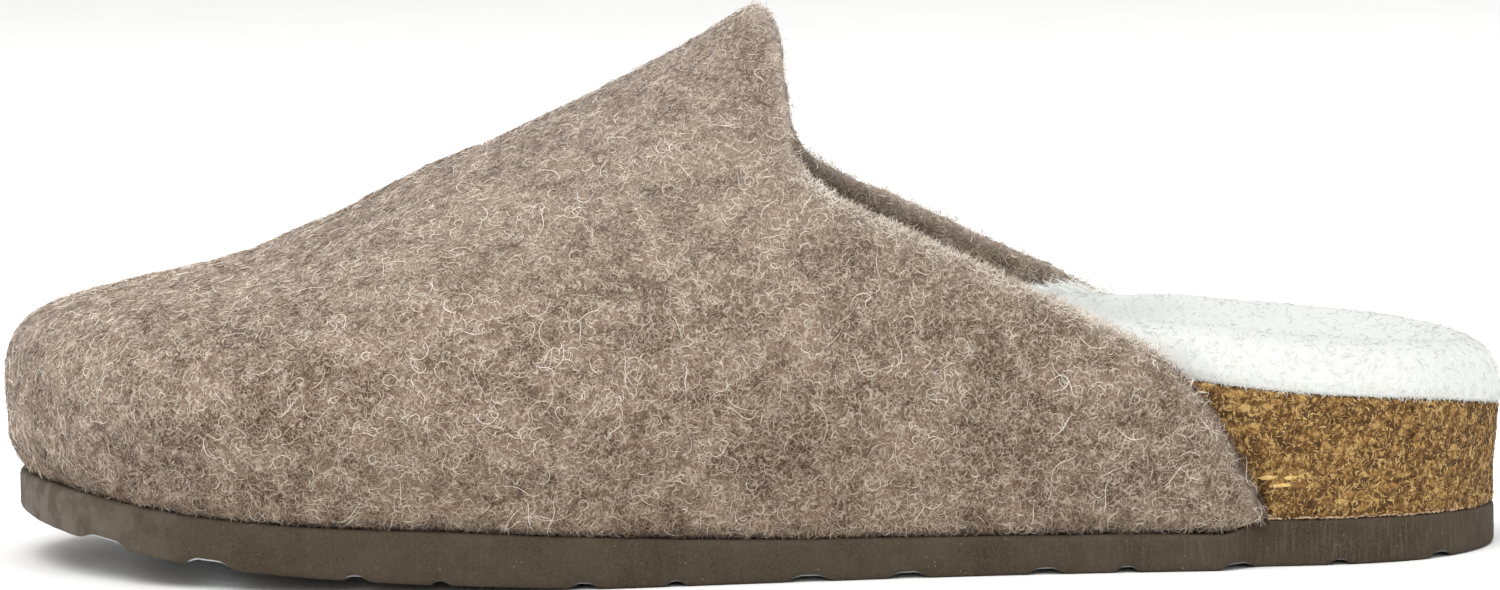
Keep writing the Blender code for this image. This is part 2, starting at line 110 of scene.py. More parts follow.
def add(tree, kind, inputs=None, **settings):
    """New shader node with its settings. An input is a value, or a socket to link it to."""
    made = tree.nodes.new("ShaderNode" + kind)
    for name, value in settings.items():
        setattr(made, name, value)
    for name, value in (inputs or {}).items():
        if isinstance(value, bpy.types.NodeSocket):
            tree.links.new(value, made.inputs[name])
        else:
            made.inputs[name].default_value = value
    return made


def maths(tree, how, *values, kind="Math"):
    """Result of a calculation with numbers, or with vectors if kind is VectorMath."""
    return add(tree, kind, dict(enumerate(values)), operation=how).outputs[0]


def place_of(tree):
    return add(tree, "TexCoord").outputs["Object"]


def attribute(tree, name):
    return add(tree, "Attribute", attribute_name=name).outputs["Fac"]


def noise(tree, place, scale=1.0, detail=2.0, roughness=0.5, distortion=0.0):
    inputs = {"Vector": place, "Scale": scale, "Detail": detail}
    inputs |= {"Roughness": roughness, "Distortion": distortion}
    return add(tree, "TexNoise", inputs).outputs["Fac"]


def in_millimetres(tree, size, seed):
    """The object's own coordinates divided by a size in millimetres and moved by a seed."""
    metres = maths(tree, "MULTIPLY", size, MM)
    sizes, seeds = (add(tree, "CombineXYZ", dict.fromkeys("XYZ", value)).outputs[0] for value in (metres, seed))
    scaled = maths(tree, "DIVIDE", place_of(tree), sizes, kind="VectorMath")
    return maths(tree, "ADD", scaled, seeds, kind="VectorMath")


def remap(tree, value, low, high, to_low=0.0, to_high=1.0):
    """Value mapped smoothly from one range to another and held inside it."""
    inputs = {"Value": value, "From Min": low, "From Max": high, "To Min": to_low, "To Max": to_high}
    return add(tree, "MapRange", inputs, interpolation_type="SMOOTHSTEP").outputs["Result"]


def blend(tree, mask, first, second, most=1.0, how="MIX"):
    """Two colours blended by a mask that reaches most at the most. A colour is a socket or 0 to 255 values."""
    if most < 1:
        mask = maths(tree, "MULTIPLY", mask, most)
    first, second = (colour(*part) if isinstance(part, tuple) else part for part in (first, second))
    return add(tree, "Mix", {0: mask, 6: first, 7: second}, data_type="RGBA", blend_type=how).outputs[2]


def new_material(name, roughness, shine=0.2, sheen=None, glow=0.0):
    """Matt material. shine: the share of the usual reflection, 0.5 being that of plastic.

    sheen: weight and roughness of the light that fibre tips catch. glow: faint light of its own: painted light
    that lifts the shade.
    """
    material = bpy.data.materials.new(name)
    material.use_nodes = True
    sockets = material.node_tree.nodes["Principled BSDF"].inputs
    sockets["Roughness"].default_value = roughness
    sockets["Specular IOR Level"].default_value = shine
    if sheen:
        sockets["Sheen Weight"].default_value, sockets["Sheen Roughness"].default_value = sheen
    # Painted light: a faint white glow that lifts the shade.
    if glow:
        sockets["Emission Color"].default_value = colour(248, 250, 246)
        sockets["Emission Strength"].default_value = glow
    return material, material.node_tree


def finished(material, base, height=None, strength=0.0, depth=0.0):
    """The material with its colour, and its bump if it has one, linked to the shader."""
    tree = material.node_tree
    sockets = tree.nodes["Principled BSDF"].inputs
    tree.links.new(base, sockets["Base Color"])
    if height is not None:
        bump = add(tree, "Bump", {"Height": height, "Strength": strength, "Distance": depth})
        tree.links.new(bump.outputs["Normal"], sockets["Normal"])
    return material


# %% Helpers for node groups
def new_group(name, numbers, outputs):
    """Empty group with float inputs and outputs. Gives it with the sockets of its two end nodes."""
    tree = bpy.data.node_groups.new(name, "ShaderNodeTree")
    for label, value in numbers.items():
        socket = tree.interface.new_socket(label, in_out="INPUT", socket_type="NodeSocketFloat")
        socket.default_value = value
    for label in outputs:
        tree.interface.new_socket(label, in_out="OUTPUT", socket_type="NodeSocketFloat")
    print("group:", name, [item.name for item in tree.interface.items_tree])
    return tree, tree.nodes.new("NodeGroupInput").outputs, tree.nodes.new("NodeGroupOutput").inputs


def from_group(tree, group, **numbers):
    """The outputs of a group that is placed in a material with its numbers."""
    return add(tree, "Group", numbers, node_tree=group).outputs


def from_middle(tree, value):
    return maths(tree, "SUBTRACT", value, 0.5)


# %% The patches group
def make_patches():
    """Soft patches, as where a batch of wool or foam is a little lighter."""
    tree, given, result = new_group("patches", {"Size": 10.0, "Seed": 0.0}, ("Mask",))
    spots = noise(tree, in_millimetres(tree, given["Size"], given["Seed"]), detail=3.0, roughness=0.6)
    tree.links.new(remap(tree, spots, 0.34, 0.66), result["Mask"])
    return tree


def patches(tree, size, seed):
    return from_group(tree, PATCHES, Size=size, Seed=seed)["Mask"]


PATCHES = make_patches()

# %% The tangle group
def make_tangle():
    """Fine curled strands: the thin lines where a twisted noise crosses its middle value."""
    tree, given, result = new_group("tangle", {"Curl": 1.0, "Width": 0.1, "Seed": 0.0}, ("Mask",))
    twisted = noise(tree, in_millimetres(tree, given["Curl"], given["Seed"]), 1.0, 1.0, 0.4, 1.2)
    share = maths(tree, "DIVIDE", maths(tree, "ABSOLUTE", from_middle(tree, twisted)), given["Width"])
    tree.links.new(remap(tree, share, 0.0, 1.0, 1.0, 0.0), result["Mask"])
    return tree


def tangle(tree, curl, width, seed):
    return from_group(tree, TANGLE, Curl=curl, Width=width, Seed=seed)["Mask"]


TANGLE = make_tangle()

# %% The heather group
def make_heather():
    """How light the mixed wool is: small tufts, blots a thumb wide and broad bands together."""
    tree, given, result = new_group("heather", {"Tuft": 2.6, "Blot": 7.0, "Band": 24.0}, ("Mask",))
    total = 0.0
    for label, weight, detail in (("Tuft", 0.8, 2.0), ("Blot", 1.0, 2.0), ("Band", 0.6, 1.0)):
        tone = noise(tree, in_millimetres(tree, given[label], weight), detail=detail)
        total = maths(tree, "MULTIPLY_ADD", from_middle(tree, tone), weight, total)
    tree.links.new(remap(tree, total, -0.24, 0.24), result["Mask"])
    return tree


def heather(tree, dark, light):
    """Wool between a dark and a light colour, mixed alike wherever it is used."""
    return blend(tree, from_group(tree, HEATHER)["Mask"], dark, light)


HEATHER = make_heather()

# %% Painted shade on the wool near the floor and painted light high up
def make_height_shade_and_light():
    """Masks for painted shade on wool near the floor, most at the toe, and painted light high up on the tongue.
    """
    tree, _, result = new_group("height shade and light", {}, ("Low", "High"))
    place = add(tree, "SeparateXYZ", {0: place_of(tree)}).outputs
    near_floor = remap(tree, place["Z"], 0.010, 0.042, 0.38, 0.0)
    ahead = remap(tree, place["X"], 0.0, 0.08, 1.0, 0.2)
    tree.links.new(maths(tree, "MULTIPLY", near_floor, ahead), result["Low"])
    tree.links.new(remap(tree, place["Z"], 0.030, 0.080, 0.0, 0.12), result["High"])
    return tree


def shade_and_light_by_height(tree, base):
    """A wool's colour, darkened near the floor as painted shade and lightened high up as painted light."""
    masks = from_group(tree, HEIGHT_SHADE_AND_LIGHT)
    # Painted shade: darker near the floor, most at the toe.
    base = blend(tree, masks["Low"], base, (214, 206, 197), how="MULTIPLY")
    # Painted light: lighter high up on the tongue.
    return blend(tree, masks["High"], base, (190, 182, 174))


HEIGHT_SHADE_AND_LIGHT = make_height_shade_and_light()

# %% [markdown]
# ## One outline for every piece
#
# A clog maker works round a last: the sole, the cork, the insole and the felt all follow one outline. The same
# holds here. The outline is a smooth closed curve through a short table of half widths, and each piece stands
# out from it or lies inside it by its own amount. The tables are the ones that the solids were made from, read
# here at many more places. Lengths in the tables are shares of the footbed's length, 262 mm, from the toe.

# %% Sizes of the footbed's outline
FOOTBED_LENGTH = 262.0
FOOTBED_WIDTH = 95.6
HALF_WIDTH = FOOTBED_WIDTH / 2
HEEL_CENTRE_INSET = 33.0
TOE_CENTRE_INSET = 37.0
ORIGIN = np.array([127.4274, -1.9093, 0.0])

# %% Outline of the footbed. along, then outer and inner as shares of half the width
OUTLINE = (
    (0.008, 0.06, 0.41), (0.031, 0.36, 0.61), (0.071, 0.63, 0.77), (0.128, 0.852, 0.865),
    (0.197, 0.958, 0.913), (0.281, 1.000, 0.917), (0.376, 0.980, 0.858), (0.491, 0.882, 0.740),
    (0.605, 0.788, 0.655), (0.720, 0.735, 0.648), (0.815, 0.717, 0.676), (0.891, 0.683, 0.674),
    (0.947, 0.556, 0.560), (0.986, 0.300, 0.306),
)
TOE_POINT = (0.0, 0.19)
HEEL_POINT = (1.0, 0.005)

# %% Curves through tables
def curve_of(table, column=1):
    """Function of a place along the clog: a smooth curve through one column that never overshoots its rows."""
    xs = np.array([row[0] for row in table])
    ys = np.array([row[column] for row in table])
    steps = np.diff(ys) / np.diff(xs)
    turn = steps[:-1] * steps[1:]
    both = np.where(turn > 0, steps[:-1] + steps[1:], 1.0)
    slopes = np.concatenate([steps[:1], np.where(turn > 0, 2 * turn / both, 0.0), steps[-1:]])

    def value(at):
        at = np.clip(at, xs[0], xs[-1])
        i = np.clip(np.searchsorted(xs, at) - 1, 0, len(steps) - 1)
        width = xs[i + 1] - xs[i]
        t = (at - xs[i]) / width
        start = (1 + 2 * t) * (1 - t) ** 2 * ys[i] + t * (1 - t) ** 2 * width * slopes[i]
        end = t * t * (3 - 2 * t) * ys[i + 1] + t * t * (t - 1) * width * slopes[i + 1]
        return start + end

    return value


def ramp_value(at, start, length):
    """Smooth step from 0 to 1 that begins at start."""
    t = np.clip((at - start) / length, 0.0, 1.0)
    return t * t * (3 - 2 * t)


def closed_curve(points, steps):
    """Centripetal curve through all the points and back to the first."""
    made = []
    count = len(points)
    for i in range(count):
        p = [np.array(points[(i + k - 1) % count]) for k in range(4)]
        t = [0.0]
        for a, b in zip(p, p[1:]):
            t.append(t[-1] + math.sqrt(np.linalg.norm(b - a)))
        for step in range(steps):
            u = t[1] + (t[2] - t[1]) * step / steps
            a = [((t[k + 1] - u) * p[k] + (u - t[k]) * p[k + 1]) / (t[k + 1] - t[k]) for k in range(3)]
            b = [((t[k + 2] - u) * a[k] + (u - t[k]) * a[k + 1]) / (t[k + 2] - t[k]) for k in range(2)]
            made.append(((t[2] - u) * b[0] + (u - t[1]) * b[1]) / (t[2] - t[1]))
    return np.array(made)


# %% The outline, from the toe along the outer side to the heel and back along the inner side
CURVE_STEPS = 40
toe = [(TOE_POINT[0] * FOOTBED_LENGTH, TOE_POINT[1] * HALF_WIDTH)]
outer_side = [(along * FOOTBED_LENGTH, -outer * HALF_WIDTH) for along, outer, inner in OUTLINE]
heel = [(HEEL_POINT[0] * FOOTBED_LENGTH, HEEL_POINT[1] * HALF_WIDTH)]
inner_side = [(along * FOOTBED_LENGTH, inner * HALF_WIDTH) for along, outer, inner in reversed(OUTLINE)]
PATH = closed_curve(toe + outer_side + heel + inner_side, CURVE_STEPS)
TANGENT = np.roll(PATH, -1, axis=0) - np.roll(PATH, 1, axis=0)
TANGENT /= np.linalg.norm(TANGENT, axis=1)[:, None]
OUTWARD = np.stack([TANGENT[:, 1], -TANGENT[:, 0]], axis=1)
HEEL_AT = (len(OUTLINE) + 1) * CURVE_STEPS
PATH_COUNT = len(PATH)
PATH_RUN = np.concatenate([[0.0], np.cumsum(np.linalg.norm(np.diff(PATH, axis=0, append=PATH[:1]), axis=1))])
print("outline in mm round the edge:", round(PATH_RUN[-1], 1))

# %% Places on the outline
class Stations:
    """Places round the outline: their points and the directions that lead away from it."""

    def __init__(self, ks):
        near = np.floor(ks).astype(int)
        share = (ks - near)[:, None]
        near, far = near % PATH_COUNT, (near + 1) % PATH_COUNT
        self.foot = PATH[near] * (1 - share) + PATH[far] * share
        out = OUTWARD[near] * (1 - share) + OUTWARD[far] * share
        self.out = out / np.linalg.norm(out, axis=1)[:, None]
        self.x = self.foot[:, 0]

    def moved(self, offset):
        """The places moved away from the outline by an offset."""
        return self.foot + self.out * np.broadcast_to(offset, self.x.shape)[:, None]


def outer_index(x):
    return np.interp(x, PATH[: HEEL_AT + 1, 0], np.arange(HEEL_AT + 1))


def inner_index(x):
    back = np.concatenate([PATH[HEEL_AT:, 0], PATH[:1, 0]])[::-1]
    return np.interp(x, back, np.arange(PATH_COUNT, HEEL_AT - 1, -1))


def all_round(spacing):
    """Stations all the way round, evenly spaced."""
    count = int(PATH_RUN[-1] / spacing)
    run = np.arange(count) * PATH_RUN[-1] / count
    return Stations(np.interp(run, PATH_RUN, np.arange(PATH_COUNT + 1)))


def middle(x):
    """Points of the middle line beside x. The line ends short of the toe and of the heel."""
    x = np.clip(x, TOE_CENTRE_INSET, FOOTBED_LENGTH - HEEL_CENTRE_INSET)
    outer, inner = (Stations(index(x)).foot[:, 1] for index in (outer_index, inner_index))
    return np.stack([x, (outer + inner) / 2], axis=1)


def beside(stations, offset, height, lift=0.0):
    """Points at an offset from the outline, each with its height read at its own x."""
    xy = stations.moved(offset)
    return np.column_stack([xy, height(xy[:, 0]) + lift])


def inside(stations, offset, share, height):
    """Points at a share of the way from the middle line to the offset outline."""
    centre = middle(stations.x)
    xy = centre + (stations.moved(offset) - centre) * share
    return np.column_stack([xy, height(xy[:, 0])])


def rounded(stations, edge, height, radius, degrees, side):
    """Rows round an edge, from lying flat (0) to standing (90). side: -1 above the edge, 1 below it."""
    rows = []
    for turn in map(math.radians, degrees):
        inset, drop = radius * (1 - math.sin(turn)), radius * (1 - math.cos(turn))
        rows.append(beside(stations, edge - inset, height, side * drop))
    return rows


def shoe_x(points):
    """Place along the clog, in mm from the toe of the footbed, for points in the frame's own place."""
    return points[:, 0] + ORIGIN[0]


# %% [markdown]
# ## From rows of points to a skin
#
# A piece is a stack of rows, one point for each station. Between the given rows a smooth curve adds more, so
# that the skin is fine enough for lumps and chips to be real shape and not only shading. A pole, where a row
# shrinks to one line, is left as it is: its points are merged by distance.

# %% Skin helpers
MERGED = 0.00002


def finer(rows, spacing, ghost=None):
    """More rows on a smooth curve through the given ones, about spacing apart where they are widest."""
    rows = [np.asarray(row, float) for row in rows]
    last = 2 * rows[-1] - rows[-2] if ghost is None else ghost
    whole = [2 * rows[0] - rows[1]] + rows + [last]
    made = []
    for before, start, end, after in zip(whole, whole[1:], whole[2:], whole[3:]):
        steps = (start - before, end - start, after - end)
        before_gap, gap, after_gap = (np.linalg.norm(step, axis=1) for step in steps)
        count = max(1, int(round(np.percentile(gap, 90) / spacing)))
        near = gap[:, None] + 1e-9
        slope_a = (end - before) * near / (before_gap[:, None] + near)
        slope_b = (after - start) * near / (after_gap[:, None] + near)
        for t in np.arange(count) / count:
            a = (1 + 2 * t) * (1 - t) ** 2 * start + t * (1 - t) ** 2 * slope_a
            b = t * t * (3 - 2 * t) * end + t * t * (t - 1) * slope_b
            made.append(a + b)
    return made + rows[-1:]


def skin(name, rows, around, ends=False):
    """Mesh object, in metres and in the frame's place, that joins each row of points to the next."""
    grid = np.array(rows)
    number = np.arange(grid.shape[0] * grid.shape[1]).reshape(grid.shape[:2])
    left = number if around else number[:, :-1]
    right = np.roll(number, -1, axis=1) if around else number[:, 1:]
    faces = np.stack([left[:-1], right[:-1], right[1:], left[1:]], axis=-1).reshape(-1, 4)
    mesh = bpy.data.meshes.new(name)
    mesh.from_pydata((grid.reshape(-1, 3) - ORIGIN) * MM, [], faces.tolist())
    work = bmesh.new()
    work.from_mesh(mesh)
    bmesh.ops.remove_doubles(work, verts=work.verts, dist=MERGED)
    if ends:
        bmesh.ops.holes_fill(work, edges=work.edges)
    bmesh.ops.recalc_face_normals(work, faces=work.faces)
    work.to_mesh(mesh)
    work.free()
    mesh.shade_smooth()
    return in_scene(name, mesh)


def read(mesh, what):
    """Vectors that a mesh has for its points, as rows of three."""
    values = np.empty(len(mesh.vertices) * 3)
    mesh.vertices.foreach_get(what, values)
    return values.reshape(-1, 3)


def points_of(piece):
    """A piece's points in millimetres."""
    return read(piece.data, "co") / MM


def normals_of(piece):
    return read(piece.data, "normal")


def store(piece, name, values):
    """Keeps one number for each point of a piece, for its material to read."""
    piece.data.attributes.new(name, "FLOAT", "POINT").data.foreach_set("value", np.asarray(values, np.float32))


def triangles(piece):
    piece.data.calc_loop_triangles()
    return len(piece.data.loop_triangles)


# %% [markdown]
# ## Lumps and tufts
#
# Felt is never quite flat and pile lies in small locks. Two functions give a height for every point of a mesh.
# The first is a smooth random height, the second the distance to the nearest of many scattered centres. Both
# come from whole-number arithmetic on the cell that a point is in, so every run gives the same surface.

# %% Heights for the points of a mesh
def chance(cells, seed):
    """Number from 0 to 1 for each whole-number cell."""
    x, y, z = np.moveaxis(cells.astype(np.int64), -1, 0)
    mixed = x * 73856093 ^ y * 19349663 ^ z * 83492791 ^ (seed + 1) * 2654435761
    mixed = (mixed ^ (mixed >> 13)) * 1274126177 & 0xFFFFFFFF
    mixed = (mixed ^ (mixed >> 16)) * 668265263 & 0xFFFFFFFF
    return (mixed ^ (mixed >> 15)) / 0xFFFFFFFF


def lumps(points, size, seed):
    """Smooth random heights from -1 to 1, with lumps of about a size in the points' own unit."""
    place = points / size
    cell = np.floor(place)
    share = place - cell
    share = share * share * (3 - 2 * share)
    total = np.zeros(len(points))
    for corner in product((0, 1), repeat=3):
        corner = np.array(corner)
        weight = np.prod(np.where(corner, share, 1 - share), axis=1)
        total += weight * (2 * chance(cell + corner, seed) - 1)
    return total


def tufts(points, size, seed):
    """Heights from 0 between the tufts to 1 at their middles."""
    place = points / size
    nearest = np.full(len(points), 9.0)
    for corner in product((-1, 0, 1), repeat=3):
        home = np.floor(place) + np.array(corner)
        centre = home + np.stack([chance(home, seed + axis) for axis in range(3)], axis=1)
        nearest = np.minimum(nearest, np.linalg.norm(place - centre, axis=1))
    return np.clip(1 - nearest / 0.9, 0, 1)


def uneven(piece, *layers):
    """Layers of lumps over a piece, each as (height, size, seed), the first two in millimetres."""
    points = points_of(piece)
    return sum(height * lumps(points, size, seed) for height, size, seed in layers)


def unit(vectors):
    return vectors / (np.linalg.norm(vectors, axis=-1, keepdims=True) + 1e-12)


def push_out(piece, heights):
    """Moves each point of a piece along its normal by a height in millimetres."""
    points = read(piece.data, "co") + normals_of(piece) * (heights * MM)[:, None]
    piece.data.vertices.foreach_set("co", points.ravel())
    piece.data.update()


# %% [markdown]
# ## The sole
#
# The foam sole is a band 7 to 9 mm thick. It follows the outline with a small lip, curls up at the toe and has
# wavy grooves across its tread that show as rounded notches along its lower edge. It is made as one skin whose
# underside already dips into the grooves, so their edges are soft without any cutting.

# %% Sizes of the sole
GAP = 0.3
FELT = 3.2
FELT_END = 217.7
RAMP = 7.5
TOE_FLARE = 3.0
TOE_FLARE_LENGTH = 70.0
SOLE_THICKNESS = 7.4
TOE_SPRING = 9.4
SOLE_ROUND = 0.9
SOLE_LIP = 1.2
SOLE_TOE_SHARE = 0.4
HEEL_LIP = 0.2
GROOVE_DEPTH = 1.0
GROOVE_WIDTH = 1.3
GROOVE_WAVE = 1.6
GROOVE_WAVE_PITCH = 38.0
GROOVE_FLANK = (0.4, 0.8)

# %% Sole. along, share of the toe spring, share of the thickness
SOLE = (
    (-0.020, 0.960, 0.94), (0.010, 0.850, 1.07), (0.041, 0.730, 1.12), (0.069, 0.610, 1.15),
    (0.098, 0.510, 1.16), (0.124, 0.430, 1.16), (0.151, 0.360, 1.18), (0.178, 0.300, 1.18),
    (0.229, 0.200, 1.22), (0.280, 0.125, 1.24), (0.330, 0.065, 1.22), (0.376, 0.015, 1.20),
    (0.410, 0.000, 1.15), (0.510, 0.000, 1.00), (0.630, 0.000, 0.94), (0.740, 0.000, 0.90),
    (0.815, 0.000, 0.86), (0.880, 0.000, 0.86), (0.950, 0.000, 0.84), (1.020, 0.000, 0.66),
)

# %% Grooves across the tread. along, then width and depth as shares of the groove width and depth
GROOVES = (
    (0.0483, 5.6, 1.10), (0.1226, 7.3, 1.15), (0.2271, 3.3, 0.90), (0.2842, 2.2, 0.75),
    (0.3784, 3.5, 0.90), (0.4370, 2.3, 0.90), (0.5220, 5.6, 1.00), (0.5864, 5.0, 1.00),
    (0.6774, 4.4, 1.00), (0.7322, 3.1, 0.95), (0.8077, 4.9, 1.00), (0.8794, 2.9, 0.85),
    (0.9572, 3.8, 0.90),
)

# %% Heights and edges of the sole
spring_share = curve_of(SOLE, 1)
thickness_share = curve_of(SOLE, 2)


def sole_bottom(x):
    return TOE_SPRING * spring_share(x / FOOTBED_LENGTH)


def sole_top(x):
    """Top of the sole. It steps up where the felt ends under the cork."""
    step = (FELT - SOLE_LIP) * ramp_value(x, FELT_END - RAMP, RAMP)
    return sole_bottom(x) + SOLE_THICKNESS * thickness_share(x / FOOTBED_LENGTH) + step


def toe_flare(x):
    return TOE_FLARE * (1 - ramp_value(x, 0.0, TOE_FLARE_LENGTH))


def felt_edge(x):
    return GAP + FELT + toe_flare(x)


def sole_edge(x):
    front = GAP + FELT + SOLE_LIP + SOLE_TOE_SHARE * toe_flare(x)
    return front + (HEEL_LIP - front) * ramp_value(x, FELT_END - RAMP, RAMP)


def groove_depth(points):
    """How deep the grooves cut into the tread at each point."""
    wave = GROOVE_WAVE * np.sin(2 * math.pi * (points[:, 1] + HALF_WIDTH) / GROOVE_WAVE_PITCH)
    depth = np.zeros(len(points))
    for along, width, share in GROOVES:
        away = np.abs(points[:, 0] - along * FOOTBED_LENGTH - wave) / (width * GROOVE_WIDTH / 2)
        depth = np.maximum(depth, share * GROOVE_DEPTH * (1 - ramp_value(away, *GROOVE_FLANK)))
    return depth


# %% The sole's skin
def sole_rows(stations):
    edge = sole_edge(stations.x)
    rows = [inside(stations, edge, share, sole_top) for share in (0.0, 0.3, 0.55, 0.75)]
    rows += [beside(stations, edge - inset, sole_top) for inset in (8.0, 6.0, 4.0, 2.4, 1.5)]
    rows += rounded(stations, edge, sole_top, SOLE_ROUND, (0, 30, 60, 90), -1)
    upper, lower = rows[-1], beside(stations, edge, sole_bottom, SOLE_ROUND)
    lower[:, 2] += groove_depth(lower)
    rows += [upper + (lower - upper) * share for share in (0.17, 0.34, 0.5, 0.67, 0.84, 1.0)]
    under = rounded(stations, edge, sole_bottom, SOLE_ROUND, (60, 30, 0), 1)
    under += [beside(stations, edge - inset, sole_bottom) for inset in (1.7, 2.8, 4.2, 6.0)]
    under += [inside(stations, edge - 6.0, share, sole_bottom) for share in np.linspace(0.96, 0.0, 26)]
    for row in under:
        row[:, 2] += groove_depth(row)
    return rows + under


SOLE_STEP = 1.0
sole = skin("foam_sole", sole_rows(all_round(SOLE_STEP)), True)
push_out(sole, uneven(sole, (0.05, 1.3, 3), (0.06, 9.0, 4)))
print("sole triangles:", triangles(sole))

# %% [markdown]
# ## Foam finish
#
# The foam is matt and dark brown, with the fine grain of cell foam, streaks and specks from moulding, lighter
# dust where it has been handled, and a pale blue-grey in the grooves under the toe that is partly dust and
# partly painted light, which lifts the grooves' shade. The handled places and the grooves' depth are stored on
# the mesh as numbers, which the material reads as masks.

# %% Foam material


TOE_DUST_AND_LIGHT = (45.0, 25.0)
HANDLED = (-6.0, 44.0)


def foam_material():
    material, tree = new_material("brown foam", 0.8)
    place = place_of(tree)
    grain = remap(tree, noise(tree, place, 2600.0, 4.0, 0.7), 0.35, 0.68)
    base = blend(tree, grain, (50, 41, 28), (76, 64, 48))
    base = blend(tree, patches(tree, 16.0, 3.0), base, (76, 67, 55), 0.5)
    streaks = noise(tree, maths(tree, "MULTIPLY", place, (2100.0, 2100.0, 190.0), kind="VectorMath"))
    heelward = remap(tree, add(tree, "SeparateXYZ", {0: place}).outputs["X"], 0.04, 0.11, 0.1, 0.5)
    drawn = maths(tree, "MULTIPLY", remap(tree, streaks, 0.48, 0.72), heelward)
    base = blend(tree, drawn, base, (98, 88, 75))
    specks = add(tree, "TexVoronoi", {"Vector": place, "Scale": 900.0}).outputs["Distance"]
    rare = remap(tree, patches(tree, 2.2, 9.0), 0.78, 0.95)
    dots = maths(tree, "MULTIPLY", remap(tree, specks, 0.08, 0.2, 1.0, 0.0), rare)
    base = blend(tree, dots, base, (130, 120, 106), 0.6)
    cloud = remap(tree, patches(tree, 6.0, 7.0), 0.0, 1.0, 0.35, 1.0)
    dusty = maths(tree, "MULTIPLY", attribute(tree, "handled"), cloud)
    base = blend(tree, dusty, base, (124, 115, 106), 0.7)
    # Pale blue-grey in the grooves: partly dust, partly painted light that lifts the grooves' shade.
    base = blend(tree, remap(tree, attribute(tree, "groove_dust_and_light"), 0.2, 0.8, 0.0, 0.9), base, (206, 210, 213))
    return finished(material, base, maths(tree, "ADD", grain, streaks), 0.4, 0.0001)


sole_points = points_of(sole) + ORIGIN
under_toe = 1 - ramp_value(sole_points[:, 0], *TOE_DUST_AND_LIGHT)
facing_down = np.clip(-2 * normals_of(sole)[:, 2] - 0.8, 0, 1)
# Where the grooves are painted pale, most under the toe: partly dust, partly painted light.
store(sole, "groove_dust_and_light", groove_depth(sole_points) / GROOVE_DEPTH * (0.6 + 0.4 * under_toe) * facing_down)
store(sole, "handled", 0.12 + 0.88 * (1 - ramp_value(sole_points[:, 0], *HANDLED)))
sole.data.materials.append(foam_material())
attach(sole, "root")
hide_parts("outsole")

# %% [markdown]
# ## The cork footbed
#
# The footbed is pressed from cork crumbs and a brown binder. Its rim stands up round a hollow seat, and at the
# heel its side shows. Under the felt its lower edge is cut back to make room for the felt's margin. Again it is
# one skin, with its side left slightly uneven, as cut cork is.

# %% Sizes of the footbed
FELT_MARGIN = 10.0
RIM_HEIGHT = 34.0
RIM_ROUND = 1.6
RIM_WEAR = 0.6
RIM_FLARE = 1.1
GLUE_GAP = 0.05
CUP_POWER = 2.6
SEAT_CHAMFER = 2.0

# %% Top of the footbed. along, then the rim and the seat as shares of the rim height
FOOTBED_TOP = (
    (-0.010, 0.720, 0.700), (0.110, 0.690, 0.650), (0.220, 0.625, 0.570), (0.320, 0.600, 0.535),
    (0.430, 0.635, 0.540), (0.530, 0.720, 0.580), (0.640, 0.880, 0.640), (0.720, 0.980, 0.665),
    (0.780, 0.972, 0.665), (0.845, 0.912, 0.655), (0.880, 0.885, 0.655), (0.930, 0.852, 0.660),
    (0.962, 0.822, 0.675), (1.010, 0.735, 0.700),
)
rim_share = curve_of(FOOTBED_TOP, 1)
seat_share = curve_of(FOOTBED_TOP, 2)


def footbed_rim(x):
    return RIM_HEIGHT * rim_share(x / FOOTBED_LENGTH)


def footbed_height(x, share):
    """Top of the footbed at a share of the way from the middle line to the edge."""
    seat = RIM_HEIGHT * seat_share(x / FOOTBED_LENGTH)
    return seat + (footbed_rim(x) - seat) * share**CUP_POWER


def cup_rows(stations):
    """Rows of the footbed's top, from the middle out to the inner side of the rim."""
    rows = []
    for share in (0.0, 0.15, 0.3, 0.45, 0.55, 0.65, 0.75, 0.83, 0.9, 0.95):
        rows.append(inside(stations, -RIM_ROUND, share, lambda x, share=share: footbed_height(x, share)))
    rows.append(beside(stations, RIM_FLARE - 2 * RIM_ROUND, footbed_rim))
    return rows


# %% The footbed's skin
def footbed_rows(stations):
    flare = ramp_value(stations.x, FELT_END - 3 * RAMP, 4 * RAMP)
    rows = cup_rows(stations)
    for turn in map(math.radians, (0, 30, 60, 90)):
        offset = RIM_FLARE - RIM_WEAR * (1 - math.sin(turn))
        rows.append(beside(stations, offset * flare, footbed_rim, -RIM_WEAR * (1 - math.cos(turn))))
    under_felt = 1 - ramp_value(stations.x, FELT_END + GAP, 0.5)
    rise = 3 * GAP + FELT
    inset = FELT - FELT_MARGIN - GAP
    side_foot = beside(stations, 0.0, sole_top, rise + SEAT_CHAMFER)
    rows += [rows[-1] + (side_foot - rows[-1]) * share for share in np.linspace(0.08, 1.0, 12)]
    covered = ((-SEAT_CHAMFER, rise), (inset, rise), (inset, GAP))
    open_side = ((0.0, 2.5), (0.0, 0.3 + GLUE_GAP), (-0.3, GLUE_GAP))
    for (offset_a, lift_a), (offset_b, lift_b) in zip(covered, open_side):
        offset = offset_b + (offset_a - offset_b) * under_felt
        rows.append(beside(stations, offset, sole_top, lift_b + (lift_a - lift_b) * under_felt))
    under = lambda x: sole_top(x) + GAP
    return rows + [inside(stations, inset, share, under) for share in (0.97, 0.7, 0.35, 0.0)]


CORK_STEP = 0.8
footbed = skin("cork_footbed", footbed_rows(all_round(CORK_STEP)), True)
push_out(footbed, uneven(footbed, (0.07, 1.1, 11), (0.05, 4.0, 12)))
print("footbed triangles:", triangles(footbed))

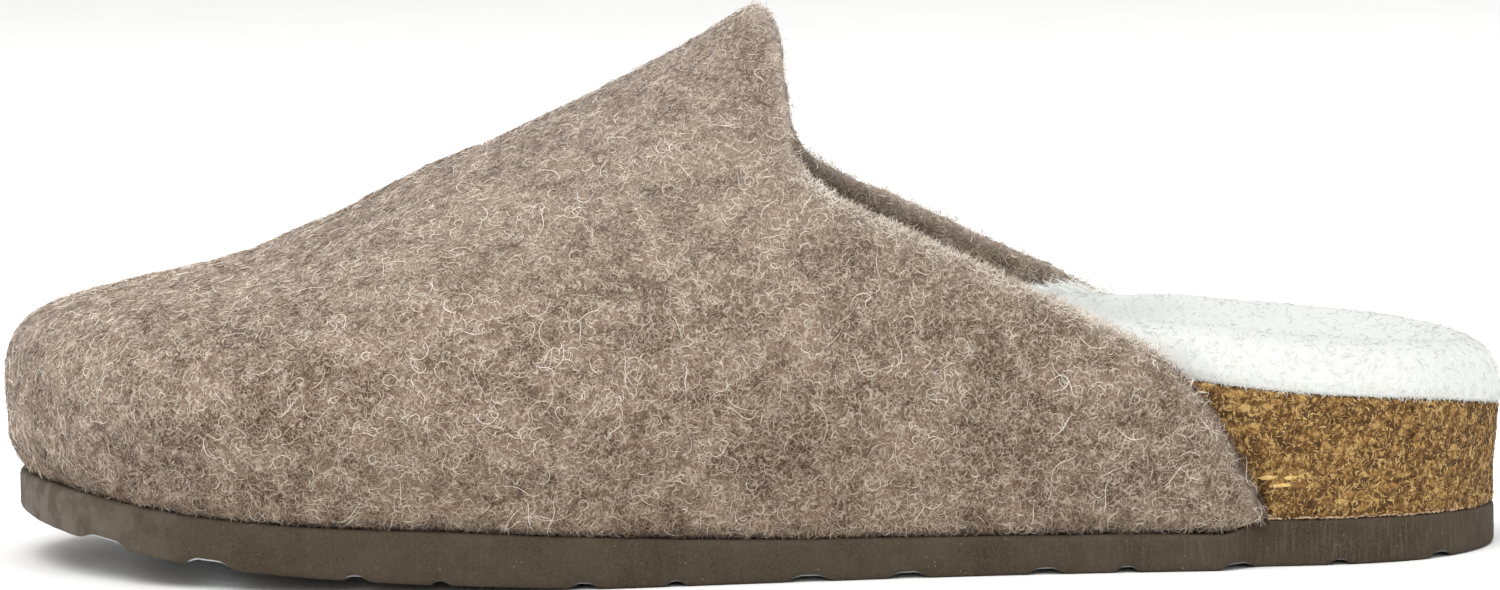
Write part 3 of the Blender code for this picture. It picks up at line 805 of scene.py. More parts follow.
# %% [markdown]
# ## Cork finish
#
# Pressed cork shows crumbs from half a millimetre to two, golden, tan and brown, in a darker binder, with thin
# straw-coloured slivers between them. Cells of two sizes give the crumbs, each with its own colour from its
# cell, and the borders of the large ones are the binder. The slivers are real, flat pieces that come later.

# %% Cork material
CORK_TONES = {
    0.0: (64, 40, 14), 0.3: (106, 73, 32), 0.6: (136, 99, 50), 0.85: (164, 127, 70), 1.0: (192, 158, 98),
}


def crumbs(tree, size, seed, stretch):
    """Cells with bent sides: where to look them up, and a random number for each crumb."""
    shift = maths(tree, "ADD", place_of(tree), (seed, seed, seed), kind="VectorMath")
    twist = add(tree, "TexNoise", {"Vector": shift, "Scale": 700.0, "Detail": 2.0}).outputs["Color"]
    centred = maths(tree, "SUBTRACT", twist, (0.5, 0.5, 0.5), kind="VectorMath")
    bent = maths(tree, "MULTIPLY", centred, (0.0009, 0.0009, 0.0009), kind="VectorMath")
    place = maths(tree, "ADD", shift, bent, kind="VectorMath")
    inputs = {"Vector": maths(tree, "MULTIPLY", place, stretch, kind="VectorMath"), "Scale": 1000.0 / size}
    cells = add(tree, "TexVoronoi", inputs).outputs["Color"]
    return inputs, add(tree, "SeparateColor", {"Color": cells}).outputs["Red"]


def cork_material():
    material, tree = new_material("pressed cork", 0.7, shine=0.3)
    inputs, tone = crumbs(tree, 1.7, 0.0, (0.8, 0.8, 1.3))
    border = add(tree, "TexVoronoi", inputs, feature="DISTANCE_TO_EDGE").outputs["Distance"]
    ramp = add(tree, "ValToRGB", {"Fac": tone})
    while len(ramp.color_ramp.elements) < len(CORK_TONES):
        ramp.color_ramp.elements.new(0.5)
    for element, (place, tint) in zip(ramp.color_ramp.elements, CORK_TONES.items()):
        element.position, element.color = place, colour(*tint)
    _, small = crumbs(tree, 0.65, 0.37, (1.7, 1.0, 0.8))
    base = blend(tree, remap(tree, small, 0.76, 0.84), ramp.outputs["Color"], (200, 166, 106), 0.8)
    base = blend(tree, remap(tree, small, 0.22, 0.14), base, (70, 46, 20), 0.75)
    base = blend(tree, remap(tree, border, 0.02, 0.14, 0.7, 0.0), base, (88, 60, 28))
    base = blend(tree, patches(tree, 6.0, 5.0), base, (222, 214, 202), 0.8, "MULTIPLY")
    height = maths(tree, "ADD", remap(tree, border, 0.0, 0.2), small)
    return finished(material, base, height, 0.6, 0.0002)


footbed.data.materials.append(cork_material())
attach(footbed, "root")
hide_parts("footbed")

# %% [markdown]
# ## The fleece insole
#
# The insole is a thick pad of white wool pile that lies in the footbed and bulges over its rim. Its shape is
# the footbed's own hollow, raised by the pile's height, with a thick rounded edge. The surface is pushed out in
# small tufts, as sheared pile stands in locks. It is not made by simulation: the pile is short and springs back
# by itself, so there is nothing that would sag.

# %% Sizes of the insole
INSOLE_THICKNESS = 8.0
INSOLE_EDGE = 9.6
INSOLE_RISE_POWER = 4.0
INSOLE_INSET = 1.9
INSOLE_OVERHANG = 1.0
PILE_STEP = 1.1
PILE_STEP_ROUND = 1.2

# %% Rounded edge of the insole from its top down. inset, height, as shares of the edge's thickness
INSOLE_ROUND = (
    (-0.56, 1.0), (-0.30, 0.94), (-0.10, 0.77), (0.0, 0.48), (0.03, 0.22), (0.02, 0.05), (-0.05, -0.02),
)


def insole_rows(stations):
    rows = []
    for share in (0.0, 0.35, 0.6, 0.78):
        rise = INSOLE_THICKNESS + (INSOLE_EDGE - INSOLE_THICKNESS) * share**INSOLE_RISE_POWER
        rows.append(inside(stations, -INSOLE_INSET, share, lambda x: footbed_height(x, share) + rise))
    free = ramp_value(stations.x, FELT_END - 2.4 * RAMP, 1.8 * RAMP)
    for inset, lift in INSOLE_ROUND:
        offset = -INSOLE_INSET + (INSOLE_INSET + INSOLE_OVERHANG) * free + inset * INSOLE_EDGE
        rows.append(beside(stations, offset, footbed_rim, GAP + lift * INSOLE_EDGE))
    under = [row + np.array([0.0, 0.0, GAP]) for row in reversed(cup_rows(stations))]
    return finer(rows, PILE_STEP) + under


# %% The insole's pile
pile = skin("fleece_insole", insole_rows(all_round(PILE_STEP_ROUND)), True)
rough = points_of(pile)
upward = np.clip(normals_of(pile)[:, 2] * 2 + 1.2, 0, 1)
locks = 0.7 * tufts(rough, 3.4, 21) + 0.3 * tufts(rough, 1.9, 24) - 0.5
push_out(pile, upward * (0.22 * locks + 0.25 * lumps(rough, 14.0, 25)))
print("insole triangles:", triangles(pile))

# %% [markdown]
# ## Fleece finish
#
# The pile is almost white and so dense that it hardly shows a shadow. A faint glow is painted light that lifts
# the pile's shade, in place of the light that wool scatters inside. Fine strands are a little lighter, and the
# pile that faces up is painted greyer, as painted shade against the stronger light from above.

# %% Fleece material
def fleece_material(name, top_shade, glow=0.1):
    """White pile, with a share of grey painted as shade where it faces up: a number, or read from the mesh if
    None.
    """
    material, tree = new_material(name, 0.95, sheen=(0.15, 0.6), glow=glow)
    strands = tangle(tree, 0.9, 0.12, 4.0)
    base = blend(tree, strands, (207, 209, 206), (216, 218, 215))
    base = blend(tree, patches(tree, 7.0, 8.0), base, (213, 212, 206), 0.4)
    # Painted shade: greyer where the pile faces up.
    base = blend(tree, attribute(tree, "top_shade") if top_shade is None else top_shade, base, (178, 180, 176))
    return finished(material, base, strands, 0.15, 0.0002)


# Painted shade: the pile that faces up is greyed, to even it with the sides under the light from above.
store(pile, "top_shade", np.clip(normals_of(pile)[:, 2], 0, 1) ** 1.5)
# Lit and shaded copies of one fleece: the shaded copy goes on the pile that faces up.
FLEECE = fleece_material("white fleece", 0.1)
SHADED_TOP_FLEECE = fleece_material("shaded top fleece", 0.85)
pile.data.materials.append(fleece_material("fleece ground", None))
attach(pile, "root")
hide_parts("insole")

# %% [markdown]
# ## The felt upper
#
# The upper is wet felted over a last in one piece, so it has no seam: it rises from the sole, bulges over the
# toes, climbs to a high tongue and is cut once along the collar. The wall is laid over the tables of sections
# and given its 3.2 mm of thickness. A block takes the collar away, and a voxel remesh with a little smoothing
# rounds the cut edge, which is what scissors and wear do to felt.

# %% Sizes of the felt
FOLD_RADIUS = 5.4
FOLD_SQUARE = 0.6
INSTEP_HEIGHT = 99.0
CREST_SHIFT = 3.0
COLLAR_RISE_ACROSS = 0.03

# %% Crest of the felt. along, share of the instep height
CREST = (
    (0.140, 0.556), (0.168, 0.589), (0.196, 0.619), (0.224, 0.654), (0.252, 0.690), (0.280, 0.726),
    (0.308, 0.753), (0.336, 0.787), (0.363, 0.821), (0.391, 0.856), (0.419, 0.890), (0.447, 0.928),
    (0.475, 0.972), (0.500, 1.006), (0.530, 1.024), (0.640, 1.015), (0.860, 0.960),
)

# %% Sections of the felt from the sole's edge to the crest, as (across, up) shares at six places
SECTION_AT = (-0.012, 0.140, 0.320, 0.505, 0.645, 0.790)
SECTIONS = (
    ((1.000, 0.000),) * 6,
    ((1.018, 0.080), (1.028, 0.080), (1.026, 0.060), (1.022, 0.055), (1.018, 0.050), (1.010, 0.050)),
    ((1.032, 0.170), (1.050, 0.175), (1.048, 0.130), (1.036, 0.120), (1.028, 0.110), (1.015, 0.110)),
    ((1.038, 0.280), (1.062, 0.275), (1.055, 0.205), (1.038, 0.185), (1.030, 0.170), (1.018, 0.170)),
    ((1.034, 0.395), (1.056, 0.378), (1.042, 0.290), (1.024, 0.255), (1.020, 0.235), (1.016, 0.235)),
    ((1.014, 0.500), (1.026, 0.485), (1.005, 0.385), (0.990, 0.330), (0.995, 0.305), (1.004, 0.300)),
    ((0.974, 0.597), (0.968, 0.592), (0.938, 0.490), (0.930, 0.415), (0.955, 0.380), (0.975, 0.370)),
    ((0.905, 0.680), (0.880, 0.695), (0.842, 0.600), (0.850, 0.508), (0.898, 0.460), (0.920, 0.450)),
    ((0.797, 0.737), (0.755, 0.785), (0.720, 0.710), (0.750, 0.608), (0.820, 0.555), (0.840, 0.550)),
    ((0.628, 0.790), (0.600, 0.862), (0.570, 0.812), (0.625, 0.720), (0.705, 0.672), (0.730, 0.660)),
    ((0.425, 0.846), (0.420, 0.924), (0.400, 0.900), (0.460, 0.842), (0.560, 0.792), (0.580, 0.770)),
    ((0.212, 0.915), (0.215, 0.971), (0.205, 0.968), (0.240, 0.956), (0.330, 0.925), (0.340, 0.890)),
    ((0.000, 1.000),) * 6,
)

# %% Collar and tongue from the side, from the peak to the rear. along, share of the instep height
COLLAR = (
    (0.489, 1.040), (0.492, 1.000), (0.498, 0.990), (0.5045, 0.968), (0.5095, 0.936), (0.5118, 0.895),
    (0.5140, 0.844), (0.5165, 0.790), (0.519, 0.750), (0.524, 0.718), (0.534, 0.690), (0.551, 0.663),
    (0.567, 0.641), (0.584, 0.620), (0.614, 0.582), (0.643, 0.546), (0.671, 0.510), (0.700, 0.475),
    (0.725, 0.440), (0.745, 0.414), (0.763, 0.385), (0.779, 0.345), (0.799, 0.278), (0.815, 0.199),
    (0.824, 0.145), (0.829, 0.106), (0.828, 0.085), (0.823, 0.068),
)

# %% The felt's wall, its margin under the footbed and the fold between them
FELT_STEP = 1.7
FELT_REACH = 0.874
TOE_STEPS = 70
side_xs = np.arange(TOE_CENTRE_INSET, FELT_REACH * FOOTBED_LENGTH, FELT_STEP)
toe_ks = np.linspace(inner_index(side_xs[0]), outer_index(side_xs[0]) + PATH_COUNT, TOE_STEPS + 2)[1:-1]
felt_ks = np.concatenate([inner_index(side_xs[::-1]), toe_ks, outer_index(side_xs) + PATH_COUNT])


def section_row(stations, number):
    """Points of one row of the felt's sections. A negative number is a row beyond the crest."""
    table = [(at, *pair) for at, pair in zip(SECTION_AT, SECTIONS[abs(number)])]
    across, up = (curve_of(table, column)(stations.x / FOOTBED_LENGTH) for column in (1, 2))
    foot = stations.foot + stations.out * felt_edge(stations.x)[:, None]
    centre = middle(stations.x) + np.array([0.0, CREST_SHIFT])
    xy = centre + (foot - centre) * ((-1 if number < 0 else 1) * across)[:, None]
    low = sole_top(foot[:, 0]) + GAP + FOLD_RADIUS
    high = INSTEP_HEIGHT * curve_of(CREST)(centre[:, 0] / FOOTBED_LENGTH)
    return np.column_stack([xy, low + (high - low) * up])


def felt_rows(stations):
    resting = lambda x: sole_top(x) + GAP
    edge = felt_edge(stations.x)
    margin = [beside(stations, edge + offset, resting) for offset in (-FELT_MARGIN, -7.5)]
    for turn in map(math.radians, (0, 15, 30, 45, 60, 75)):
        offset = FOLD_RADIUS * (math.sin(turn) ** FOLD_SQUARE - 1)
        margin.append(beside(stations, edge + offset, resting, FOLD_RADIUS * (1 - math.cos(turn))))
    wall = [section_row(stations, number) for number in range(len(SECTIONS))]
    return margin + finer(wall, FELT_STEP, ghost=section_row(stations, 2 - len(SECTIONS)))


# %% The collar's cut
CUT_WEAR = 0.45


def cut_line():
    """The line of the collar's cut seen from the side, as close points in mm."""
    rough = np.array([(a * FOOTBED_LENGTH, h * INSTEP_HEIGHT, 0.0) for a, h in COLLAR])
    return np.concatenate(finer([point[None, :] for point in rough], 1.0))[:, :2]


CUT_LINE = cut_line()


def from_cut(points):
    """Distance in mm, seen from the side, between points of the felt and the collar's cut."""
    seen = points + ORIGIN
    seen = np.column_stack([seen[:, 0], seen[:, 2] - COLLAR_RISE_ACROSS * seen[:, 1]])
    nearest = np.full(len(seen), 1e9)
    for place in CUT_LINE:
        nearest = np.minimum(nearest, ((seen - place) ** 2).sum(axis=1))
    return np.sqrt(nearest)


def collar_block():
    """The block that takes the collar away, moved back by what the rounding of the edge takes off."""
    step = np.gradient(CUT_LINE, axis=0)
    aside = np.column_stack([-step[:, 1], step[:, 0]]) / np.linalg.norm(step, axis=1)[:, None]
    outline = (CUT_LINE + CUT_WEAR * aside).tolist()
    low, high, far = -FELT_MARGIN, 1.3 * INSTEP_HEIGHT, 1.1 * FOOTBED_LENGTH
    outline += [(outline[-1][0] - FELT / 2, low), (far, low), (far, high), (outline[0][0], high)]
    rows = []
    for y in (-FOOTBED_WIDTH, FOOTBED_WIDTH):
        rows.append([(x, y, z + COLLAR_RISE_ACROSS * y) for x, z in outline])
    return skin("collar block", rows, True, ends=True)


# %% The felt shell, cut and rounded
FELT_VOXEL = 1.3


def axis_beside(points):
    """The clog's middle line beside each point, seen from above in the frame's own place."""
    return middle(shoe_x(points)) - ORIGIN[:2]


def modify(piece, kind, **settings):
    made = piece.modifiers.new(kind.lower(), kind)
    for name, value in settings.items():
        setattr(made, name, value)


def applied(piece):
    """Replaces a piece's mesh by the result of its modifiers."""
    bpy.context.view_layer.update()
    graph = bpy.context.evaluated_depsgraph_get()
    mesh = bpy.data.meshes.new_from_object(piece.evaluated_get(graph))
    piece.modifiers.clear()
    piece.data = mesh
    mesh.name = piece.name
    mesh.shade_smooth()


shell = skin("felt_upper", felt_rows(Stations(felt_ks)), False)
away = points_of(shell)[:, :2] - axis_beside(points_of(shell))
if (away * normals_of(shell)[:, :2]).sum() < 0:
    shell.data.flip_normals()
block = collar_block()
modify(shell, "SOLIDIFY", thickness=FELT * MM, offset=-1.0, use_even_offset=True)
modify(shell, "BOOLEAN", operation="DIFFERENCE", solver="EXACT", object=block)
modify(shell, "REMESH", mode="VOXEL", voxel_size=FELT_VOXEL * MM, use_smooth_shade=True)
modify(shell, "SMOOTH", factor=0.5, iterations=4)
applied(shell)
bpy.data.objects.remove(block, do_unlink=True)
print("felt triangles:", triangles(shell))

# %% Lumps in the felt, and its bulge over the lip of the sole
AXIS_HEIGHT = 24.0
FOOT_BULGE = 0.9
BULGE_LIFT = 2.2
BULGE_LIFT_TOE = 6.8
BULGE_REACH = 2.8
TOE_REACH = 8.0


def turned_out(points, normals):
    """How far each point of the felt faces away from the inside of the clog, from -1 to 1."""
    out = np.column_stack([points[:, :2] - axis_beside(points), points[:, 2] - AXIS_HEIGHT])
    return (unit(out) * normals).sum(axis=1)


def above_sole(points):
    return points[:, 2] - sole_top(shoe_x(points))


rough = points_of(shell)
soft = uneven(shell, (0.28, 14.0, 31), (0.16, 6.0, 32), (0.09, 2.6, 33))
toe_tip = np.exp(-((shoe_x(rough) / TOE_REACH) ** 2))
bulge = np.exp(-(((above_sole(rough) - BULGE_LIFT - BULGE_LIFT_TOE * toe_tip) / BULGE_REACH) ** 2))
push_out(shell, soft + FOOT_BULGE * bulge * (turned_out(rough, normals_of(shell)) > 0.2))

# %% [markdown]
# ## Felt finish
#
# Heather felt is a mix of cream, tan and brown wool. Seen close, curled pale fibres lie over darker gaps. The
# wall's own material is the dark ground, partly brown wool and partly painted shade of the gaps between fibres,
# with a tangle of strands in two sizes painted on it, and loose real fibres are laid over it afterwards in three
# wools.

# %% Felt ground material
WOOL_SHEEN = (0.35, 0.3)
LOW_END = 190.0
CUT_REACH = 1.8


def felt_material():
    material, tree = new_material("heather felt", 0.95, sheen=WOOL_SHEEN)
    fine, coarse = tangle(tree, 0.8, 0.10, 1.0), tangle(tree, 1.5, 0.07, 6.0)
    # The ground's dark colour is partly brown wool and partly painted shade of the gaps between fibres.
    base = heather(tree, (84, 64, 50), (134, 114, 97))
    base = blend(tree, fine, base, (168, 149, 132), 0.8)
    base = blend(tree, coarse, base, (196, 180, 164), 0.9)
    # Painted light: the collar's cut edge is painted lighter, where it catches the light from above.
    base = blend(tree, attribute(tree, "cut"), base, (186, 170, 155), 0.5)
    # Painted shade: the rear cut face, which looks away from the key light, is painted dark.
    base = blend(tree, attribute(tree, "rear_cut"), base, (88, 72, 54), 0.85)
    return finished(material, shade_and_light_by_height(tree, base), maths(tree, "ADD", fine, coarse), 0.7, 0.00025)


def near_cut(points):
    """1 on the collar's cut edge, falling to 0 a few millimetres away."""
    return np.exp(-((from_cut(points) / CUT_REACH) ** 2))


def on_rear_cut(points, normals):
    """1 on the cut face that looks back over the cork, where the collar runs down to the sole, painted dark as
    shade.
    """
    low_end = ramp_value(shoe_x(points), LOW_END, 8.0)
    return np.clip(near_cut(points) * 1.6, 0, 1) * low_end * np.clip(3 * normals[:, 0] - 1.2, 0, 1)


store(shell, "cut", near_cut(points_of(shell)))
store(shell, "rear_cut", on_rear_cut(points_of(shell), normals_of(shell)))
shell.data.materials.append(felt_material())
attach(shell, "root")
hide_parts("upper")

# %% [markdown]
# ## Loose fibres
#
# No node can give felt its soft outline, because that is made of single fibres. Blender could grow them as
# hair, but the finished model has to be plain meshes, so each fibre is a thin flat ribbon of a few joints: it
# starts in a point, bends as it goes and ends in a point. A fibre lies on the surface round its own middle, or
# stands out from its root. Their places are drawn at random over the triangles of the piece below them.

# %% Places for fibres
def places_on(piece, count, rng, weigh):
    """Random points on a piece, with their normals. weigh: a triangle's share, from its middle and normal."""
    mesh = piece.data
    mesh.calc_loop_triangles()
    corners = np.empty(len(mesh.loop_triangles) * 3, np.int32)
    mesh.loop_triangles.foreach_get("vertices", corners)
    corners = corners.reshape(-1, 3)
    points = points_of(piece)
    a, b, c = (points[corners[:, k]] for k in range(3))
    area = np.linalg.norm(np.cross(b - a, c - a), axis=1)
    facing = normals_of(piece)[corners].mean(axis=1)
    chances = area * weigh((a + b + c) / 3, facing)
    picked = rng.choice(len(corners), count, p=chances / chances.sum())
    u, v = rng.random(count), rng.random(count)
    turned = u + v > 1
    u, v = np.where(turned, 1 - u, u)[:, None], np.where(turned, 1 - v, v)[:, None]
    spot = a[picked] + (b - a)[picked] * u + (c - a)[picked] * v
    facing = facing[picked]
    return spot, facing / np.linalg.norm(facing, axis=1)[:, None]


# %% The ribbon mesh
def ribbons_mesh(name, points, joints):
    """Mesh of ribbons that all have the same joints. points: those of each ribbon, end, pairs and end."""
    count = len(points)
    corners = [0, 1, 2]
    for k in range(1, 2 * joints - 4, 2):
        corners += [k, k + 2, k + 3, k + 1]
    corners = np.array(corners + [2 * joints - 3, 2 * joints - 1, 2 * joints - 2])
    starts = np.concatenate([[0], 3 + 4 * np.arange(joints - 1)])
    loops = corners[None, :] + 2 * joints * np.arange(count)[:, None]
    loop_starts = starts[None, :] + len(corners) * np.arange(count)[:, None]
    mesh = bpy.data.meshes.new(name)
    mesh.vertices.add(2 * joints * count)
    mesh.vertices.foreach_set("co", points.ravel() * MM)
    mesh.loops.add(loops.size)
    mesh.loops.foreach_set("vertex_index", loops.ravel().astype(np.int32))
    mesh.polygons.add(joints * count)
    mesh.polygons.foreach_set("loop_start", loop_starts.ravel().astype(np.int32))
    mesh.update(calc_edges=True)
    mesh.validate()
    mesh.shade_smooth()
    return mesh


def fibres(name, material, places, rng, sizes, rise, joints=4, rooted=True, wave=0.0, direction=None, roll=1.2):
    """Curled ribbons in one mesh. sizes: ranges of length and width in mm, and of the whole bend in radians.

    rise: ranges in mm for the height of its start, middle and end. joints: how many straight pieces it has.
    rooted: it starts at its place, where a fibre that isn't lies round it. wave and roll: how far it sways,
    and how far it may lie on its side, in radians.
    """
    spots, facing = places
    count = len(spots)
    draw = lambda low, high: rng.uniform(low, high, count)
    loose = rng.normal(size=(count, 3)) if direction is None else direction
    side = unit(np.cross(facing, loose))
    ahead = np.cross(side, facing)
    long, wide, bend = (draw(*pair) for pair in sizes)
    bend *= np.where(rng.random(count) < 0.5, -1, 1)
    ripple, phase = draw(-1.0, 1.0) * wave, draw(0.0, 6.28)
    start, crown, end = (draw(*pair) for pair in rise)
    shares = np.linspace(0, 1, joints + 1)
    halves = (shares[:-1] + shares[1:])[:, None] / 2
    heading = bend * (halves - 0.5) + ripple * np.sin(4.5 * halves + phase)
    track = np.stack([np.cos(heading), np.sin(heading)], axis=-1) * (long / joints)[:, None]
    track = np.concatenate([np.zeros((1, count, 2)), np.cumsum(track, axis=0)])
    if not rooted:
        track -= track[joints // 2]
    line = []
    for s, (forward, sideways) in zip(shares, np.moveaxis(track, -1, 1)):
        height = start * (1 - s) ** 2 + 2 * crown * s * (1 - s) + end * s * s
        line.append(spots + ahead * forward[:, None] + side * sideways[:, None] + facing * height[:, None])
    line = np.stack(line, axis=1)
    lean = draw(-roll, roll)[:, None]
    flat = facing * np.cos(lean) + side * np.sin(lean)
    across = unit(np.cross(unit(np.gradient(line, axis=1)), flat[:, None, :])) * (wide / 2)[:, None, None]
    across *= (1 - np.abs(2 * shares - 1) ** 2.5)[None, :, None]
    pairs = np.stack([line - across, line + across], axis=2)[:, 1:-1].reshape(count, -1, 3)
    mesh = ribbons_mesh(name, np.concatenate([line[:, :1], pairs, line[:, -1:]], axis=1), joints)
    mesh.materials.append(material)
    piece = in_scene(name, mesh)
    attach(piece, "root")
    print(name, "fibres:", count, "triangles:", triangles(piece))


def grow(name, material, piece, count, seed, share, sizes, rise, joints=4, aim=None, **shape):
    """Fibres on a piece, with their own seed. aim: gives their directions from their places."""
    rng = np.random.default_rng(seed)
    places = places_on(piece, count, rng, share)
    direction = aim(places, rng) if aim else None
    fibres(name, material, places, rng, sizes, rise, joints, direction=direction, **shape)


def towards(way, spread):
    """An aim along one way, with each fibre turned a little by chance."""
    return lambda places, rng: np.array(way) + rng.normal(0, spread, places[0].shape)


# %% Wool materials
def wool_material(name, light, dark, seed):
    """One wool, lighter or darker with the heather below it and a little from one fibre to the next."""
    material, tree = new_material(name, 0.9, sheen=WOOL_SHEEN)
    base = blend(tree, patches(tree, 1.2, seed), heather(tree, dark, light), light, 0.3)
    return finished(material, shade_and_light_by_height(tree, base))


CREAM = wool_material("cream wool", (226, 212, 196), (162, 143, 124), 1.0)
TAN = wool_material("tan wool", (188, 169, 150), (124, 103, 84), 2.0)
BROWN = wool_material("brown wool", (138, 116, 98), (80, 60, 46), 3.0)
PALE = wool_material("pale wool", (238, 230, 220), (202, 188, 172), 4.0)

# %% Fibres on the felt. name, wool, count, seed, joints, shares at the collar's cut and on its rear
# On the rear cut face most fibres are brown, as painted shade.
WOOLS = (
    ("cream_wool", CREAM, 21500, 41, 5, 1.4, 0.1),
    ("tan_wool", TAN, 22000, 42, 4, 0.9, 0.5),
    ("brown_wool", BROWN, 14000, 43, 4, 0.4, 3.0),
)
LAID = ((-0.1, 0.2), (0.05, 0.55), (-0.1, 0.35))
FLOOR_SIDE = 22.0
INSOLE_SIDE = 30.0
INSIDE_SEEN = 110.0


def felt_share(middles, facing):
    """Full share on the outside, less on the inside of the wall and none where the felt lies on the sole."""
    hidden = (facing[:, 2] < -0.93) & (middles[:, 2] < FLOOR_SIDE)
    inner = np.where(shoe_x(middles) > INSIDE_SEEN, 0.55, 0.06)
    inner = np.where(middles[:, 2] < INSOLE_SIDE, 0.03, inner)
    return np.where(hidden, 0.0, np.where(turned_out(middles, facing) > 0, 1.0, inner))


def wool_share(at_cut, at_rear):
    def share(middles, facing):
        laid = felt_share(middles, facing) * (1 + (at_cut - 1) * near_cut(middles))
        return laid * (1 + (at_rear - 1) * on_rear_cut(middles, facing))

    return share


for name, wool, count, seed, joints, *at in WOOLS:
    sizes = ((1.5, 4.0), (0.09, 0.16), (1.0, 4.6))
    grow(name, wool, shell, count, seed, wool_share(*at), sizes, LAID, joints, rooted=False)


# %% Fine fuzz that stands out from the felt, and long loose hairs
FAR_SIDE = 5.0
PEAK_BARE = 84.0


def stray_share(middles, facing):
    """As the felt, but little on the far edge of the collar, where it would stand out dark."""
    far_rim = near_cut(middles) * ((middles[:, 1] > FAR_SIDE) | (middles[:, 2] > PEAK_BARE))
    return felt_share(middles, facing) * (1 - 0.8 * far_rim) * (1 - on_rear_cut(middles, facing))


sizes = ((1.0, 2.6), (0.06, 0.1), (0.8, 3.0))
rise = ((-0.1, 0.0), (0.2, 0.8), (0.3, 1.3))
grow("stray_wool", PALE, shell, 9000, 44, stray_share, sizes, rise, 3)
sizes = ((4.0, 9.0), (0.09, 0.13), (0.6, 4.2))
rise = ((-0.1, 0.3), (0.3, 1.0), (-0.1, 0.6))
grow("long_wool", PALE, shell, 1000, 45, felt_share, sizes, rise, 10, rooted=False, wave=1.4)

# %% Fringe along the collar's cut, with dark hairs as painted shade where it looks back over the cork
TONGUE_BARE = 72.0


def fringe_share(middles, facing):
    """Most on the cut face of the near side, little on the far side and where the cut ends at the sole."""
    low_end = ramp_value(shoe_x(middles), LOW_END, 14.0)
    side = np.where(facing[:, 2] > 0.3, 1.0, np.where(turned_out(middles, facing) > 0, 0.4, 0.1))
    side *= np.where(middles[:, 1] > FAR_SIDE, 0.15, 1.0) * np.where(middles[:, 2] > TONGUE_BARE, 0.08, 1.0)
    return side * near_cut(middles) ** 6 * (1 - 0.6 * low_end) * (1 - on_rear_cut(middles, facing))


sizes = ((0.8, 2.6), (0.08, 0.13), (1.0, 4.5))
rise = ((-0.1, 0.0), (0.3, 1.3), (0.2, 1.9))
grow("collar_fringe", PALE, shell, 3600, 46, fringe_share, sizes, rise, 5)
# Dark brown hairs on the rear cut face, as painted shade.
sizes = ((1.0, 2.6), (0.08, 0.14), (1.0, 4.0))
rise = ((-0.1, 0.0), (0.2, 0.8), (0.0, 0.9))
grow("rear_fringe", BROWN, shell, 900, 48, on_rear_cut, sizes, rise)

# %% Hairs along the foot of the felt
DOWN = (0.0, 0.0, -1.0)


def foot_share(middles, facing):
    """The lowest part of the fold, where the felt turns under above the sole."""
    lift = above_sole(middles)
    return 1.0 * ((turned_out(middles, facing) > 0.2) & (facing[:, 2] > -0.85) & (lift < 4.0) & (lift > 0.3))


sizes = ((1.2, 3.4), (0.09, 0.16), (0.8, 4.0))
rise = ((-0.1, 0.1), (0.2, 0.7), (0.0, 0.8))
grow("foot_fringe", TAN, shell, 5200, 47, foot_share, sizes, rise, aim=towards(DOWN, 0.7))

# %% Pile fibres on the fleece
SHOWN_FROM = 105.0
OPEN_FROM = 150.0
END_AT, END_REACH, END_SIDE = 185.0, 8.0, 26.0


def seen(points):
    """1 where the insole can be seen, and little deep in the toe."""
    return np.where(shoe_x(points) > SHOWN_FROM, 1.0, 0.12)


def pile_share(middles, facing):
    return np.where(facing[:, 2] < 0.7, 0.0, seen(middles))


def edge_share(middles, facing):
    """The rounded edge of the pile."""
    return np.where((facing[:, 2] > -0.35) & (facing[:, 2] < 0.7), seen(middles), 0.0)


def lip_share(middles, facing):
    """The lower half of the insole's rounded edge, at the open heel."""
    lift = middles[:, 2] - footbed_rim(shoe_x(middles))
    return 1.0 * ((facing[:, 2] < 0.3) & (lift < 2.6) & (lift > -0.3) & (shoe_x(middles) > OPEN_FROM))


def end_share(middles, facing):
    """The top of the insole beside the far end of the collar."""
    along = np.exp(-(((shoe_x(middles) - END_AT) / END_REACH) ** 2))
    return np.where((middles[:, 1] > END_SIDE) & (facing[:, 2] > -0.1) & (along > 0.05), along, 0.0)


# Painted light: the long pile at the far end of the collar is the lightest copy and glows more, to lift its
# shade.
LONG_FLEECE = fleece_material("long fleece", 0.0, glow=0.22)
sizes = ((1.2, 2.6), (0.1, 0.16), (0.8, 3.2))
rise = ((-0.2, 0.0), (0.0, 0.2), (-0.1, 0.12))
# The pile that faces up gets the shaded copy of the fleece, as painted shade.
grow("pile_wool", SHADED_TOP_FLEECE, pile, 9000, 51, pile_share, sizes, rise)
grow("rim_wool", FLEECE, pile, 5000, 54, edge_share, sizes, rise)
sizes = ((0.8, 2.2), (0.1, 0.16), (0.4, 2.0))
rise = ((-0.2, 0.0), (0.05, 0.4), (0.0, 0.5))
grow("lip_pile", FLEECE, pile, 4000, 52, lip_share, sizes, rise, aim=towards(DOWN, 0.5))
sizes = ((2.5, 7.0), (0.1, 0.15), (0.3, 2.4))
rise = ((-0.2, 0.0), (0.6, 2.4), (0.6, 3.6))
grow("end_pile", LONG_FLEECE, pile, 2200, 53, end_share, sizes, rise, 6, towards((-0.6, 0.3, 0.0), 0.4))

# %% Slivers in the cork, straw-coloured and dark
def straw_material(name, dark, light):
    material, tree = new_material(name, 0.7)
    return finished(material, blend(tree, patches(tree, 1.6, 12.0), dark, light))


def cork_share(middles, facing):
    """Only on the open side of the footbed."""
    return 1.0 * ((np.abs(facing[:, 2]) < 0.75) & (shoe_x(middles) > FELT_END - 14) & (middles[:, 2] > 8))


